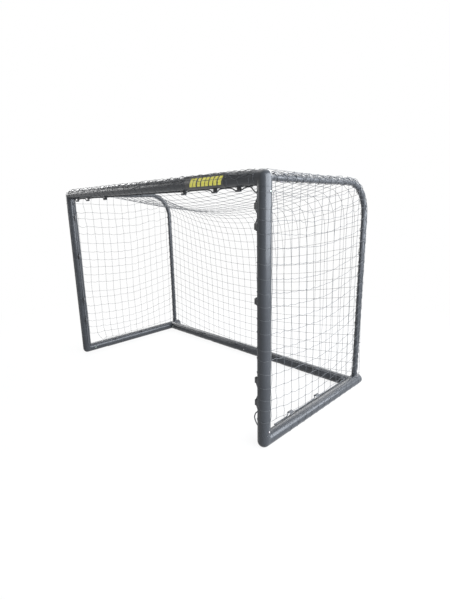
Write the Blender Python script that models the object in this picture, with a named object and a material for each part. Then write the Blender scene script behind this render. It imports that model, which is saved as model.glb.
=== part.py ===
"""Portable soccer goal: a plug-together tube frame with a box net hooked onto it.

Metres, +Z up. X runs along the crossbar, the open mouth faces -Y and the net closes
the top, the back and both sides. The origin is on the ground, at the centre of the
goal's outline.
"""
import math

import bmesh
import bpy
from mathutils import Matrix, Vector

# Outline of the goal
frame_width = 1.82
frame_height = 1.20
frame_depth = 0.92

# Main tube of the posts, crossbar and ground bars
main_diameter = 0.060
main_wall = 0.0015
main_sides = 24
spigot_sides = 16
ball_steps = 3

# Thin bent tube at each side
thin_diameter = 0.028
thin_wall = 0.0015
thin_sides = 16
bend_radius = 0.178
bend_steps = 8

# Places in front of the rails' rear ends
rear_bar_inset = 0.0763
upright_inset = 0.0433

# Corner fittings and joiners
leg_length = 0.036
spigot_length = 0.060
spigot_wall = 0.0018
stub_length = 0.089
stub_spigot_length = 0.045
joiner_length = 0.200
collar_wall = 0.0024
collar_height = 0.025
weld_root = 0.0056
weld_overlap = 0.0006
cap_flange = 0.0035
cap_plug_length = 0.020
cap_wall = 0.0025

# Snap buttons
button_setback = 0.018
button_radius = 0.0045
button_proud = 0.0035
button_flange = 0.0020
button_flange_height = 0.0012
leaf_length = 0.030
leaf_thickness = 0.0008
thin_button_radius = 0.0030
thin_button_proud = 0.0025
thin_button_setback = 0.016
thin_leaf_length = 0.020
button_sides = 8

# Net hooks, which stand on the tubes
hook_length = 0.026
hook_width = 0.016
hook_wall = 0.0028
hook_height = 0.0205
hook_lip = 0.0070
stud_radius = 0.0025
stud_sides = 6

# Places of the hooks: up from the ground and down from the crossbar on the posts, inwards
# from the left and the right post on the bars, and back from the post on the side rails
right_post_low_hooks = (0.205, 0.313, 0.672)
right_post_high_hooks = (0.188, 0.108)
left_post_low_hooks = (0.258, 0.418, 0.740)
left_post_high_hooks = (0.157,)
crossbar_left_hooks = (0.105, 0.260, 0.496)
crossbar_right_hooks = (0.496, 0.283, 0.139)
rear_bar_left_hooks = (0.435, 0.820)
rear_bar_right_hooks = (0.550, 0.240)
side_rail_hooks = (0.240, 0.479)

# Border ropes of the net
rope_diameter = 0.006
rope_rise_half = 0.042
rope_end_height = 0.075
loop_low = 0.086
loop_high = 0.168
loop_bulge = 0.022
ground_rope_start = 0.110

# Net panels, drawn with wide meshes
cord_width = 0.0035
cord_thickness = 0.0030
top_meshes = (11, 4)
back_meshes = (11, 6)
side_meshes = (5, 6)
net_sag = 0.105
net_lean = 0.045
back_bend_steps = 3
side_net_setback = 0.0065

# Label on the crossbar, placed inwards from the right post
label_inset = 0.323
label_length = 0.250
label_thickness = 0.0008
label_top_angle = math.radians(101)
label_sweep = math.radians(152)
label_steps = 12

# Clearances
gap = 0.0003
slide_clearance = 0.0003

# Sizes worked out from the ones above
main_radius = main_diameter / 2
main_bore = main_radius - main_wall
spigot_radius = main_bore - slide_clearance
spigot_bore = spigot_radius - spigot_wall
thin_radius = thin_diameter / 2
thin_bore = thin_radius - thin_wall
stub_spigot_radius = thin_bore - slide_clearance
stub_bore = stub_spigot_radius - thin_wall
rest_radius = main_radius * math.cos(math.pi / main_sides)
ground_z = rest_radius
bar_z = frame_height - rest_radius
front_y = rest_radius - frame_depth / 2
rail_end_y = frame_depth / 2
rear_bar_y = rail_end_y - rear_bar_inset
upright_y = rail_end_y - upright_inset
post_x = frame_width / 2 - rest_radius
seam = leg_length + gap
hook_rope_centre = main_radius + hook_height - hook_wall - gap - rope_diameter / 2
hug_rope_centre = main_radius + gap + rope_diameter / 2
bend_start_y = upright_y - bend_radius
bend_centre_z = bar_z - bend_radius
net_side_x = post_x + main_radius + gap
net_edge_x = net_side_x - gap - cord_width / 2
back_net_foot = ground_z + main_radius + collar_height + cord_width
roof_rest = main_radius / 2
label_centre = post_x - label_inset


def places_between(start, end, from_start, from_end):
    """Places along a run, some measured from its start and the rest from its end."""
    return [start + distance for distance in from_start] + [end - distance for distance in from_end]


right_post_hooks = places_between(0, bar_z, right_post_low_hooks, right_post_high_hooks)
left_post_hooks = places_between(0, bar_z, left_post_low_hooks, left_post_high_hooks)
crossbar_hooks = places_between(-post_x, post_x, crossbar_left_hooks, crossbar_right_hooks)
rear_bar_hooks = places_between(-post_x, post_x, rear_bar_left_hooks, rear_bar_right_hooks)


def clear_scene():
    for item in list(bpy.data.objects):
        bpy.data.objects.remove(item, do_unlink=True)


def paint(name, colour, roughness, metallic):
    material = bpy.data.materials.new(name)
    material.use_nodes = True
    shader = material.node_tree.nodes["Principled BSDF"]
    shader.inputs["Base Color"].default_value = (*colour, 1.0)
    shader.inputs["Roughness"].default_value = roughness
    shader.inputs["Metallic"].default_value = metallic
    material.diffuse_color = (*colour, 1.0)
    return material


def aim(direction):
    """Turn local Z to a direction, with local X upright, or along X for a vertical one."""
    along = Vector(direction).normalized()
    across = Vector((1, 0, 0)) if abs(along.z) > 0.9 else Vector((0, 0, 1))
    across = (across - along * across.dot(along)).normalized()
    return Matrix((across, along.cross(across), along)).transposed().to_4x4()


def turned(profile, sides, ring=False):
    """Spin a profile of (radius, height) points round Z, as a solid or as an open ring."""
    shape = bmesh.new()
    half_step = math.pi / sides
    points = []
    for radius, height in profile:
        points.append(shape.verts.new((radius * math.cos(half_step), radius * math.sin(half_step), height)))
    edges = [shape.edges.new(pair) for pair in zip(points, points[1:])]
    if ring:
        edges.append(shape.edges.new((points[-1], points[0])))
    bmesh.ops.spin(shape, geom=points + edges, cent=(0, 0, 0), axis=(0, 0, 1), dvec=(0, 0, 0),
                   angle=math.tau, steps=sides, use_merge=True)
    bmesh.ops.remove_doubles(shape, verts=shape.verts, dist=0.000001)
    bmesh.ops.recalc_face_normals(shape, faces=shape.faces)
    return shape


def rod(radius, low, high, sides):
    return turned([(0, low), (radius, low), (radius, high), (0, high)], sides)


def hollow(radius, bore, low, high, sides):
    return turned([(bore, low), (radius, low), (radius, high), (bore, high)], sides, ring=True)


def turn_to(shape, direction, at=(0, 0, 0)):
    shape.transform(Matrix.Translation(at) @ aim(direction))
    return shape


def as_mesh(name, shape):
    mesh = bpy.data.meshes.new(name)
    shape.to_mesh(mesh)
    shape.free()
    return mesh


def smooth(mesh, angle=35):
    mesh.shade_smooth()
    mesh.set_sharp_from_angle(angle=math.radians(angle))


def add_piece(name, mesh, material, place=None):
    piece = bpy.data.objects.new(name, mesh)
    bpy.context.collection.objects.link(piece)
    if not mesh.materials:
        mesh.materials.append(material)
    piece.matrix_world = place if place else Matrix.Identity(4)
    return piece


def add_solid(name, shape, material, place=None):
    mesh = as_mesh(name, shape)
    smooth(mesh)
    return add_piece(name, mesh, material, place)


def carve(piece, shape, operation="DIFFERENCE"):
    """Join or cut a piece with a helper shape given in the piece's own frame."""
    label = piece.name + "_" + operation.lower() + str(len(piece.modifiers))
    helper = bpy.data.objects.new(label, as_mesh(label, shape))
    bpy.context.collection.objects.link(helper)
    helper.matrix_world = piece.matrix_world
    helper.display_type = "WIRE"
    helper.hide_render = True
    helper.hide_set(True)
    step = piece.modifiers.new(label, "BOOLEAN")
    step.operation = operation
    step.solver = "EXACT"
    step.object = helper


def merge_shapes(shapes):
    """Put shapes that don't touch into one helper shape."""
    whole = bmesh.new()
    for shape in shapes:
        carrier = as_mesh("carrier", shape)
        whole.from_mesh(carrier)
        bpy.data.meshes.remove(carrier)
    return whole


def settled_mesh(name, piece):
    """The finished mesh of a piece whose modifiers are done, for copies to share."""
    graph = bpy.context.evaluated_depsgraph_get()
    mesh = bpy.data.meshes.new_from_object(piece.evaluated_get(graph))
    mesh.name = name
    for step in list(piece.modifiers):
        bpy.data.objects.remove(step.object, do_unlink=True)
    bpy.data.objects.remove(piece, do_unlink=True)
    smooth(mesh)
    return mesh


def stood_on(point, outward, along):
    """A frame at a tube's centre line with local Z outward and local X along the tube."""
    z_axis = Vector(outward).normalized()
    x_axis = Vector(along).normalized()
    turn = Matrix((x_axis, z_axis.cross(x_axis), z_axis)).transposed().to_4x4()
    return Matrix.Translation(point) @ turn


def hole(stance, radius, reach, sides, place):
    """A round cutter through one wall, given the stance of what stands in it."""
    shape = rod(radius, main_radius * 0.2, reach, sides)
    shape.transform(place.inverted() @ stood_on(*stance))
    return shape


# Snap buttons

def snap_button_mesh(name, bore, outer, radius, proud, length):
    """A pin with a flange under the wall, carried by a bent leaf inside the tube."""
    flange_radius = radius + button_flange
    flange_top = math.sqrt(bore ** 2 - flange_radius ** 2) * math.cos(math.pi / spigot_sides) - gap
    flange_foot = flange_top - button_flange_height
    crown = outer + proud
    shoulder = crown - radius * 0.6
    profile = [(0, flange_foot), (flange_radius, flange_foot), (flange_radius, flange_top),
               (radius, flange_top), (radius, shoulder), (radius * 0.7, shoulder + radius * 0.42), (0, crown)]
    piece = add_solid(name, turned(profile, button_sides), steel)
    half = leaf_thickness / 2
    top = flange_foot + half
    low = top - bore * 0.9
    path = [(-flange_radius, top), (length * 0.55, top - bore * 0.12), (length, top - bore * 0.42),
            (length * 0.72, low + bore * 0.05), (0, low)]
    carve(piece, ribbon(path, leaf_thickness, radius * 1.7), "UNION")
    return settled_mesh(name, piece)


def ribbon(path, thickness, width):
    """A bent strip: a path in local X and Z, with its width across Y."""
    points = [Vector(point) for point in path]
    sides = []
    for index, point in enumerate(points):
        before = points[max(index - 1, 0)]
        after = points[min(index + 1, len(points) - 1)]
        run = (after - before).normalized()
        sides.append(Vector((-run.y, run.x)) * thickness / 2)
    outline = [point + side for point, side in zip(points, sides)]
    outline += [point - side for point, side in zip(reversed(points), reversed(sides))]
    return extruded(outline, width)


def extruded(outline, width):
    """An outline in X and Z, given its width across Y, centred."""
    shape = bmesh.new()
    corners = [shape.verts.new((x, -width / 2, z)) for x, z in outline]
    face = shape.faces.new(corners)
    raised = bmesh.ops.extrude_face_region(shape, geom=[face])
    moved = [item for item in raised["geom"] if isinstance(item, bmesh.types.BMVert)]
    bmesh.ops.translate(shape, verts=moved, vec=(0, width, 0))
    bmesh.ops.recalc_face_normals(shape, faces=shape.faces)
    return shape


def button_place(name):
    """The stance of a snap button: centre line point, outward direction and leaf direction."""
    reach = seam + button_setback
    side = -1 if name.endswith("left") else 1
    rail_inner = post_x - main_radius - gap
    places = {
        "post_top": ((side * post_x, front_y, bar_z - reach), (side, 0, 0), (0, 0, 1)),
        "post_foot": ((side * post_x, front_y, ground_z + reach), (side, 0, 0), (0, 0, -1)),
        "rail_front": ((side * post_x, front_y + reach, ground_z), (-side, 0, 0), (0, -1, 0)),
        "rear_bar": ((side * (rail_inner - button_setback), rear_bar_y, ground_z), (0, -1, 0), (-side, 0, 0)),
        "top_tube": ((side * post_x, front_y + stub_length + gap + thin_button_setback, bar_z),
                     (0, 0, -1), (0, -1, 0)),
        "crossbar_middle": ((gap + button_setback * 2, front_y, bar_z), (0, 1, 0), (-1, 0, 0)),
        "rear_bar_middle": ((gap + button_setback * 2, rear_bar_y, ground_z), (0, -1, 0), (-1, 0, 0)),
    }
    key = name.replace("_left", "").replace("_right", "").replace("button_", "")
    return places[key]


def button_holes(names, place):
    """Round holes for the named buttons, through the wall that each one stands in."""
    shapes = []
    for name in names:
        thin = "top_tube" in name
        radius = (thin_button_radius if thin else button_radius) + slide_clearance
        reach = (thin_radius if thin else main_radius) * 1.5
        shapes.append(hole(button_place(name), radius, reach, button_sides, place))
    return merge_shapes(shapes)


def add_buttons():
    main_mesh = snap_button_mesh("snap_button", spigot_bore, main_radius, button_radius,
                                 button_proud, leaf_length)
    thin_mesh = snap_button_mesh("thin_snap_button", stub_bore, thin_radius, thin_button_radius,
                                 thin_button_proud, thin_leaf_length)
    for name in button_names:
        mesh = thin_mesh if "top_tube" in name else main_mesh
        add_piece(name, mesh, steel, stood_on(*button_place(name)))


# Net hooks

def hook_mesh():
    """A C-shaped hook seated on the tube, with a stud in the tube's wall."""
    seat = main_radius + gap
    half = hook_width / 2
    spread = math.asin(half / seat)
    turns = [spread * share for share in (-1, -0.5, 0, 0.5, 1)]
    arc = [(seat * math.sin(turn), seat * math.cos(turn)) for turn in turns]
    foot_top = seat + hook_wall
    crown = main_radius + hook_height
    inner_crown = crown - hook_wall
    inner = half - hook_wall
    corner = hook_wall * 0.8
    outline = arc + [(half, foot_top), (-inner, foot_top), (-inner, inner_crown), (inner, inner_crown),
                     (inner, crown - hook_lip), (half, crown - hook_lip), (half, crown - corner),
                     (half - corner, crown), (-half + corner, crown), (-half, crown - corner)]
    shape = extruded(outline, hook_length)
    shape.transform(Matrix.Rotation(math.pi / 2, 4, "Z"))
    piece = add_solid("net_hook", shape, black_plastic)
    carve(piece, rod(stud_radius, main_bore + gap, seat + hook_wall / 2, stud_sides), "UNION")
    return settled_mesh("net_hook", piece)


def hook_places():
    """Each hook's name with its stance: centre line point, outward and tube directions."""
    slant = math.sqrt(0.5)
    places = {}
    for side, word, heights in ((-1, "left", left_post_hooks), (1, "right", right_post_hooks)):
        for number, height in enumerate(heights, 1):
            spot = (side * post_x, front_y, height)
            places[f"hook_post_{word}_{number}"] = (spot, (-side, 0, 0), (0, 0, 1))
        for number, setback in enumerate(side_rail_hooks, 1):
            spot = (side * post_x, front_y + setback, ground_z)
            places[f"hook_rail_{word}_{number}"] = (spot, (-side * slant, 0, slant), (0, 1, 0))
    for number, x in enumerate(crossbar_hooks, 1):
        places[f"hook_crossbar_{number}"] = ((x, front_y, bar_z), (0, 0, -1), (1, 0, 0))
    for number, x in enumerate(rear_bar_hooks, 1):
        places[f"hook_rear_bar_{number}"] = ((x, rear_bar_y, ground_z), (0, -slant, slant), (1, 0, 0))
    return places


def stud_holes(match, place):
    """Stud holes for every hook whose name and place pass the match."""
    shapes = []
    for name, stance in hook_places().items():
        if match(name, stance[0]):
            shapes.append(hole(stance, stud_radius + slide_clearance, main_radius * 1.5, stud_sides, place))
    return shapes


def add_hooks():
    mesh = hook_mesh()
    for name, stance in hook_places().items():
        add_piece(name, mesh, black_plastic, stood_on(*stance))


# Frame tubes and fittings

def add_tube(name, start, end, buttons, hooks):
    """A straight main tube with holes for its snap buttons and hook studs."""
    start = Vector(start)
    run = Vector(end) - start
    place = Matrix.Translation(start) @ aim(run)
    piece = add_solid(name, hollow(main_radius, main_bore, 0, run.length, main_sides), steel_paint, place)
    cutters = stud_holes(hooks, place)
    if buttons:
        cutters.append(button_holes(buttons, place))
    if cutters:
        carve(piece, merge_shapes(cutters))
    return piece


def add_posts():
    for side, word in ((-1, "left"), (1, "right")):
        foot = (side * post_x, front_y, ground_z + seam)
        head = (side * post_x, front_y, bar_z - seam)
        add_tube("post_" + word, foot, head, ["button_post_top_" + word, "button_post_foot_" + word],
                 lambda name, point, word=word: name.startswith("hook_post_" + word))


def add_crossbar():
    for side, word in ((-1, "left"), (1, "right")):
        inner = (side * gap / 2, front_y, bar_z)
        outer = (side * (post_x - seam), front_y, bar_z)
        add_tube("crossbar_" + word, inner, outer, ["button_crossbar_middle"] if side > 0 else [],
                 lambda name, point, side=side: "crossbar" in name and point[0] * side > 0)
    add_joiner("crossbar_joiner", (0, front_y, bar_z), "button_crossbar_middle")


def add_joiner(name, centre, button):
    half = joiner_length / 2
    place = Matrix.Translation(centre) @ aim((1, 0, 0))
    piece = add_solid(name, hollow(spigot_radius, spigot_bore, -half, half, spigot_sides), steel, place)
    carve(piece, button_holes([button], place))


def add_rear_bar():
    """Two halves that slide over the spigots of the side rails, cut to the rails' round."""
    for side, word in ((-1, "left"), (1, "right")):
        buttons = ["button_rear_bar_" + word] + (["button_rear_bar_middle"] if side > 0 else [])
        piece = add_tube("rear_bar_" + word, (side * gap / 2, rear_bar_y, ground_z),
                         (side * post_x, rear_bar_y, ground_z), buttons,
                         lambda name, point, side=side: "rear_bar" in name and point[0] * side > 0)
        back = piece.matrix_world.inverted()
        saddle = turn_to(rod(main_radius + gap, -main_diameter, main_diameter, main_sides), (0, 1, 0),
                         (side * post_x, rear_bar_y, ground_z))
        saddle.transform(back)
        carve(piece, saddle)
        collar = turn_to(rod(thin_radius + slide_clearance + collar_wall + gap, 0, main_diameter, thin_sides),
                         (0, 0, 1), (side * post_x, upright_y, ground_z))
        collar.transform(back)
        carve(piece, collar)
    add_joiner("rear_bar_joiner", (0, rear_bar_y, ground_z), "button_rear_bar_middle")


def add_side_rails():
    """Ground rail with an inward spigot for the rear bar and a collar for the upright."""
    for side, word in ((-1, "left"), (1, "right")):
        place = Matrix.Translation((side * post_x, front_y + seam, ground_z))
        length = rail_end_y - cap_flange - gap - front_y - seam
        bar_at = (0, rear_bar_y - front_y - seam, 0)
        upright_at = (0, upright_y - front_y - seam, 0)
        collar_bore = thin_radius + slide_clearance
        piece = add_solid("side_rail_" + word,
                          turn_to(hollow(main_radius, main_bore, 0, length, main_sides), (0, 1, 0)),
                          steel_paint, place)
        holes = stud_holes(lambda name, point, word=word: name.startswith("hook_rail_" + word), place)
        holes.append(button_holes(["button_rail_front_" + word], place))
        holes.append(turn_to(rod(collar_bore + weld_overlap, main_radius / 2, main_diameter, thin_sides),
                             (0, 0, 1), upright_at))
        carve(piece, merge_shapes(holes))
        spigot = hollow(spigot_radius, spigot_bore, main_bore - weld_root, main_radius + spigot_length,
                        spigot_sides)
        carve(piece, turn_to(spigot, (-side, 0, 0), bar_at), "UNION")
        carve(piece, button_holes(["button_rear_bar_" + word], place))
        collar = hollow(collar_bore + collar_wall, collar_bore, main_bore - weld_root,
                        main_radius + collar_height, thin_sides)
        carve(piece, turn_to(collar, (0, 0, 1), upright_at), "UNION")


def add_rail_caps():
    plug = spigot_radius
    bore = plug - cap_wall
    flange = main_radius
    round_off = cap_flange * 0.6
    profile = [(0, cap_flange), (flange - round_off, cap_flange), (flange, cap_flange * 0.4), (flange, 0),
               (plug, 0), (plug, -cap_plug_length), (bore, -cap_plug_length), (bore, 0), (0, 0)]
    for side, word in ((-1, "left"), (1, "right")):
        place = Matrix.Translation((side * post_x, rail_end_y - cap_flange, ground_z)) @ aim((0, 1, 0))
        add_solid("rail_cap_" + word, turned(profile, main_sides), black_plastic, place)


def elbow_rings(first, second, radius, steps):
    """Rings of a round elbow about its centre: straight to a ball outside, to a mitre inside."""
    binormal = first.cross(second)
    rings = []
    for step in range(steps + 1):
        turn = math.pi / 2 * step / steps
        outward = -(second * math.cos(turn) + first * math.sin(turn))
        ring = []
        for count in range(main_sides):
            angle = math.tau * (count + 0.5) / main_sides
            out, across = radius * math.cos(angle), radius * math.sin(angle)
            centre = outward * out if out > 0 else -(first + second) * out
            ring.append(centre + binormal * across)
        rings.append(ring)
    return rings


def leg_ring(leg, other, binormal, radius, distance):
    """A ring square to a leg, its points in step with the elbow's own rings."""
    ring = []
    for count in range(main_sides):
        angle = math.tau * (count + 0.5) / main_sides
        side = -other * radius * math.cos(angle) + binormal * radius * math.sin(angle)
        ring.append(leg * distance + side)
    return ring


def elbow(first, second):
    """A hollow ball-cornered elbow with a spigot on each leg."""
    first, second = Vector(first), Vector(second)
    binormal = first.cross(second)
    leg_end = leg_length + spigot_length
    outer = elbow_rings(first, second, main_radius, ball_steps)
    inner = elbow_rings(first, second, spigot_bore, 1)
    ends = []
    for leg, other in ((first, second), (second, first)):
        steps = ((main_radius, leg_length), (spigot_radius, leg_length), (spigot_radius, leg_end),
                 (spigot_bore, leg_end))
        ends.append([leg_ring(leg, other, binormal, radius, distance) for radius, distance in steps])
    loop = outer + ends[1] + inner[::-1] + ends[0][::-1]
    shape = bmesh.new()
    rows = [[shape.verts.new(point) for point in ring] for ring in loop]
    for row, following in zip(rows, rows[1:] + rows[:1]):
        for count in range(main_sides):
            after = (count + 1) % main_sides
            shape.faces.new((row[count], row[after], following[after], following[count]))
    bmesh.ops.remove_doubles(shape, verts=shape.verts, dist=0.000001)
    bmesh.ops.recalc_face_normals(shape, faces=shape.faces)
    return shape


def add_corner(name, centre, legs, buttons, stub):
    """A round corner with one spigot for each leg, and a back stub at the top corners."""
    place = Matrix.Translation(centre)
    piece = add_solid(name, elbow(*legs), steel_paint, place)
    carve(piece, button_holes(buttons, place))
    if stub:
        root = main_bore - weld_root
        profile = [(stub_bore, root), (thin_radius, root), (thin_radius, stub_length),
                   (stub_spigot_radius, stub_length), (stub_spigot_radius, stub_length + stub_spigot_length),
                   (stub_bore, stub_length + stub_spigot_length)]
        pierced = turn_to(turned(profile, thin_sides, ring=True), (0, 1, 0))
        carve(piece, pierced, "UNION")
        carve(piece, button_holes([stub], place))


def add_corners():
    for side, word in ((-1, "left"), (1, "right")):
        add_corner("top_corner_" + word, (side * post_x, front_y, bar_z), [(-side, 0, 0), (0, 0, -1)],
                   ["button_post_top_" + word], "button_top_tube_" + word)
        add_corner("front_corner_" + word, (side * post_x, front_y, ground_z), [(0, 0, 1), (0, 1, 0)],
                   ["button_post_foot_" + word, "button_rail_front_" + word], None)


def add_bent_tubes():
    """Thin tube from the top corner's stub back and down into the rail's collar."""
    foot = ground_z - math.sqrt(main_bore ** 2 - thin_radius ** 2) + gap * 2
    for side, word in ((-1, "left"), (1, "right")):
        route = [(front_y + stub_length + gap, bar_z)]
        for step in range(bend_steps + 1):
            turn = math.pi / 2 * step / bend_steps
            across, rise = bend_radius * math.sin(turn), bend_radius * math.cos(turn)
            route.append((bend_start_y + across, bend_centre_z + rise))
        route.append((upright_y, foot))
        piece = add_swept("bent_tube_" + word, route, side * post_x)
        carve(piece, button_holes(["button_top_tube_" + word], Matrix.Identity(4)))


def add_swept(name, route, x):
    """A tube swept along a route in the plane of Y and Z, with its bore open at both ends."""
    shape = bmesh.new()
    loops = []
    for radius, sides in ((thin_radius, thin_sides), (thin_bore, thin_sides)):
        rings = []
        for index, (y, z) in enumerate(route):
            before = Vector(route[max(index - 1, 0)])
            after = Vector(route[min(index + 1, len(route) - 1)])
            normal = Vector((-(after - before).normalized().y, (after - before).normalized().x))
            ring = []
            for count in range(sides):
                angle = math.tau * (count + 0.5) / sides
                offset = normal * radius * math.cos(angle)
                ring.append(shape.verts.new((x + radius * math.sin(angle), y + offset.x, z + offset.y)))
            rings.append(ring)
        loops.append(rings)
        for first, second in zip(rings, rings[1:]):
            for count in range(sides):
                after = (count + 1) % sides
                shape.faces.new((first[count], first[after], second[after], second[count]))
    for end in (0, -1):
        outer, inner = loops[0][end], loops[1][end]
        for count in range(thin_sides):
            after = (count + 1) % thin_sides
            shape.faces.new((outer[count], outer[after], inner[after], inner[count]))
    bmesh.ops.recalc_face_normals(shape, faces=shape.faces)
    return add_solid(name, shape, steel_paint)


def add_label():
    """A curved label on the crossbar's front, clear of the net above and the hooks below."""
    inner = main_radius + gap
    outer = inner + label_thickness
    shape = bmesh.new()
    ends = []
    for x in (-label_length / 2, label_length / 2):
        ring = []
        for radius in (inner, outer):
            row = []
            for step in range(label_steps + 1):
                angle = label_top_angle + label_sweep * step / label_steps
                row.append(shape.verts.new((x, radius * math.cos(angle), radius * math.sin(angle))))
            ring.append(row)
        ends.append(ring[0] + ring[1][::-1])
    shape.faces.new(ends[0])
    shape.faces.new(ends[1])
    count = len(ends[0])
    for index in range(count):
        after = (index + 1) % count
        shape.faces.new((ends[0][index], ends[0][after], ends[1][after], ends[1][index]))
    bmesh.ops.recalc_face_normals(shape, faces=shape.faces)
    add_solid("crossbar_label", shape, label_paint, Matrix.Translation((label_centre, front_y, bar_z)))


# Net panels

def cord_lines(low, high, meshes):
    return [low + (high - low) * index / meshes for index in range(meshes + 1)]


def lattice(across, along, extra_across, extra_along, place):
    """A net panel as one closed sheet: cords on the given lines, laid out by place."""
    def stations(lines, extra):
        edges = []
        for line in lines:
            edges += [line - cord_width / 2, line + cord_width / 2]
        return sorted(edges + list(extra))

    def is_cord(lines, low, high):
        middle = (low + high) / 2
        return any(abs(middle - line) < cord_width / 2 for line in lines)

    columns = stations(across, extra_across)
    rows = stations(along, extra_along)
    column_solid = [is_cord(across, *pair) for pair in zip(columns, columns[1:])]
    row_solid = [is_cord(along, *pair) for pair in zip(rows, rows[1:])]
    shape = bmesh.new()
    corners = {}

    def corner(i, j, layer):
        if (i, j, layer) not in corners:
            corners[(i, j, layer)] = shape.verts.new(place(columns[i], rows[j], layer))
        return corners[(i, j, layer)]

    def solid(i, j):
        inside = 0 <= i < len(column_solid) and 0 <= j < len(row_solid)
        return inside and (column_solid[i] or row_solid[j])

    for i in range(len(column_solid)):
        for j in range(len(row_solid)):
            if not solid(i, j):
                continue
            loop = ((i, j), (i + 1, j), (i + 1, j + 1), (i, j + 1))
            shape.faces.new([corner(a, b, 0) for a, b in loop])
            shape.faces.new([corner(a, b, 1) for a, b in reversed(loop)])
            beside = ((i, j - 1), (i + 1, j), (i, j + 1), (i - 1, j))
            for side, (a, b) in enumerate(beside):
                if not solid(a, b):
                    first, second = loop[side], loop[(side + 1) % 4]
                    wall = ((*first, 0), (*first, 1), (*second, 1), (*second, 0))
                    shape.faces.new([corner(*spot) for spot in wall])
    bmesh.ops.recalc_face_normals(shape, faces=shape.faces)
    return shape


def hang(x, share):
    """How far the unsupported net sinks at x, where share runs from 0 at a held edge to 1."""
    free_half = post_x - thin_radius
    spread = max(0.0, 1 - (x / free_half) ** 2)
    return spread * share


def roof_point(x, run, layer):
    """A point of the top panel: run is the distance back from the crossbar."""
    whole = bend_start_y - front_y
    back = min(max(run / whole, 0.0), 1.0)
    free = max(run - roof_rest, 0.0) / (whole - roof_rest)
    high = bar_z + rest_radius + gap
    low = bar_z + thin_radius + gap
    drop = net_sag * hang(x, math.sin(min(free, 1.0) * math.pi / 2))
    return (x, front_y + run, high + (low - high) * back - drop + layer * cord_thickness)


def back_point(x, run, layer):
    """A point of the back panel: run goes round the bend and down to the rear bar."""
    radius = thin_radius + bend_radius + gap + layer * cord_thickness
    bend_run = (thin_radius + bend_radius) * math.pi / 2
    turn = min(max(run / bend_run, 0.0), 1.0) * math.pi / 2
    down = max(run - bend_run, 0.0)
    left = 1 - down / (bend_centre_z - back_net_foot)
    y = bend_start_y + radius * math.sin(turn)
    z = bend_centre_z + radius * math.cos(turn) - down
    pull = hang(x, min(max(left, 0.0), 1.0))
    return (x, y - net_lean * pull * math.sin(turn), z - net_sag * pull * (1 - 0.55 * (turn * 2 / math.pi)))


def add_roof_net():
    across = cord_lines(-net_edge_x, net_edge_x, top_meshes[0])
    along = cord_lines(cord_width / 2, bend_start_y - front_y - cord_width / 2 - gap, top_meshes[1])
    tube_edge = post_x - thin_radius - gap
    shape = lattice(across, along, (-tube_edge, tube_edge), (roof_rest,), roof_point)
    add_solid("net_top", shape, net_cord)


def add_back_net():
    bend_run = (thin_radius + bend_radius) * math.pi / 2
    whole = bend_run + bend_centre_z - back_net_foot
    across = cord_lines(-net_edge_x, net_edge_x, back_meshes[0])
    along = cord_lines(cord_width / 2, whole - cord_width / 2, back_meshes[1])
    tube_edge = post_x - thin_radius - gap
    extra = [bend_run * step / back_bend_steps for step in range(1, back_bend_steps + 1)]
    extra = [run for run in extra if all(abs(run - line) > cord_width for line in along)]
    shape = lattice(across, along, (-tube_edge, tube_edge), extra, back_point)
    add_solid("net_back", shape, net_cord)


def side_outline(inset):
    """The side panel's outline in Y and Z, rounded where the thin tube bends."""
    front = front_y + side_net_setback + inset
    foot = ground_z - cord_width / 2 + inset
    rear = upright_y + thin_radius - inset
    top = bar_z + thin_radius - inset
    radius = bend_radius + thin_radius - inset
    outline = [(front, foot), (rear, foot)]
    for step in range(bend_steps + 1):
        turn = math.pi / 2 * step / bend_steps
        outline.append((rear - radius + radius * math.cos(turn), top - radius + radius * math.sin(turn)))
    outline.append((front, top))
    return outline


def plate(outline, low, high):
    """An outline in Y and Z with its thickness along X."""
    shape = bmesh.new()
    face = shape.faces.new([shape.verts.new((low, y, z)) for y, z in outline])
    raised = bmesh.ops.extrude_face_region(shape, geom=[face])
    moved = [item for item in raised["geom"] if isinstance(item, bmesh.types.BMVert)]
    bmesh.ops.translate(shape, verts=moved, vec=(high - low, 0, 0))
    bmesh.ops.recalc_face_normals(shape, faces=shape.faces)
    return shape


def add_side_nets():
    for side, word in ((-1, "left"), (1, "right")):
        low, high = sorted((side * net_side_x, side * (net_side_x + cord_thickness)))
        piece = add_solid("net_" + word, plate(side_outline(0), low, high), net_cord)
        outline = side_outline(0)
        (front, foot), (rear, _), top = outline[0], outline[1], outline[-1][1]
        half = cord_width / 2
        columns = cord_lines(front + half, rear - half, side_meshes[0])
        rows = cord_lines(foot + half, top - half, side_meshes[1])
        windows = []
        for y_low, y_high in zip(columns, columns[1:]):
            for z_low, z_high in zip(rows, rows[1:]):
                corners = [(y_low + half, z_low + half), (y_high - half, z_low + half),
                           (y_high - half, z_high - half), (y_low + half, z_high - half)]
                windows.append(plate(corners, low - gap, high + gap))
        helper_name = "net_" + word + "_windows"
        helper = add_piece(helper_name, as_mesh(helper_name, merge_shapes(windows)), net_cord)
        helper.display_type = "WIRE"
        helper.hide_render = True
        helper.hide_set(True)
        carve(helper, plate(side_outline(cord_width), low - gap * 2, high + gap * 2), "INTERSECT")
        step = piece.modifiers.new(helper_name, "BOOLEAN")
        step.operation = "DIFFERENCE"
        step.solver = "EXACT"
        step.object = helper


# Border ropes

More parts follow.
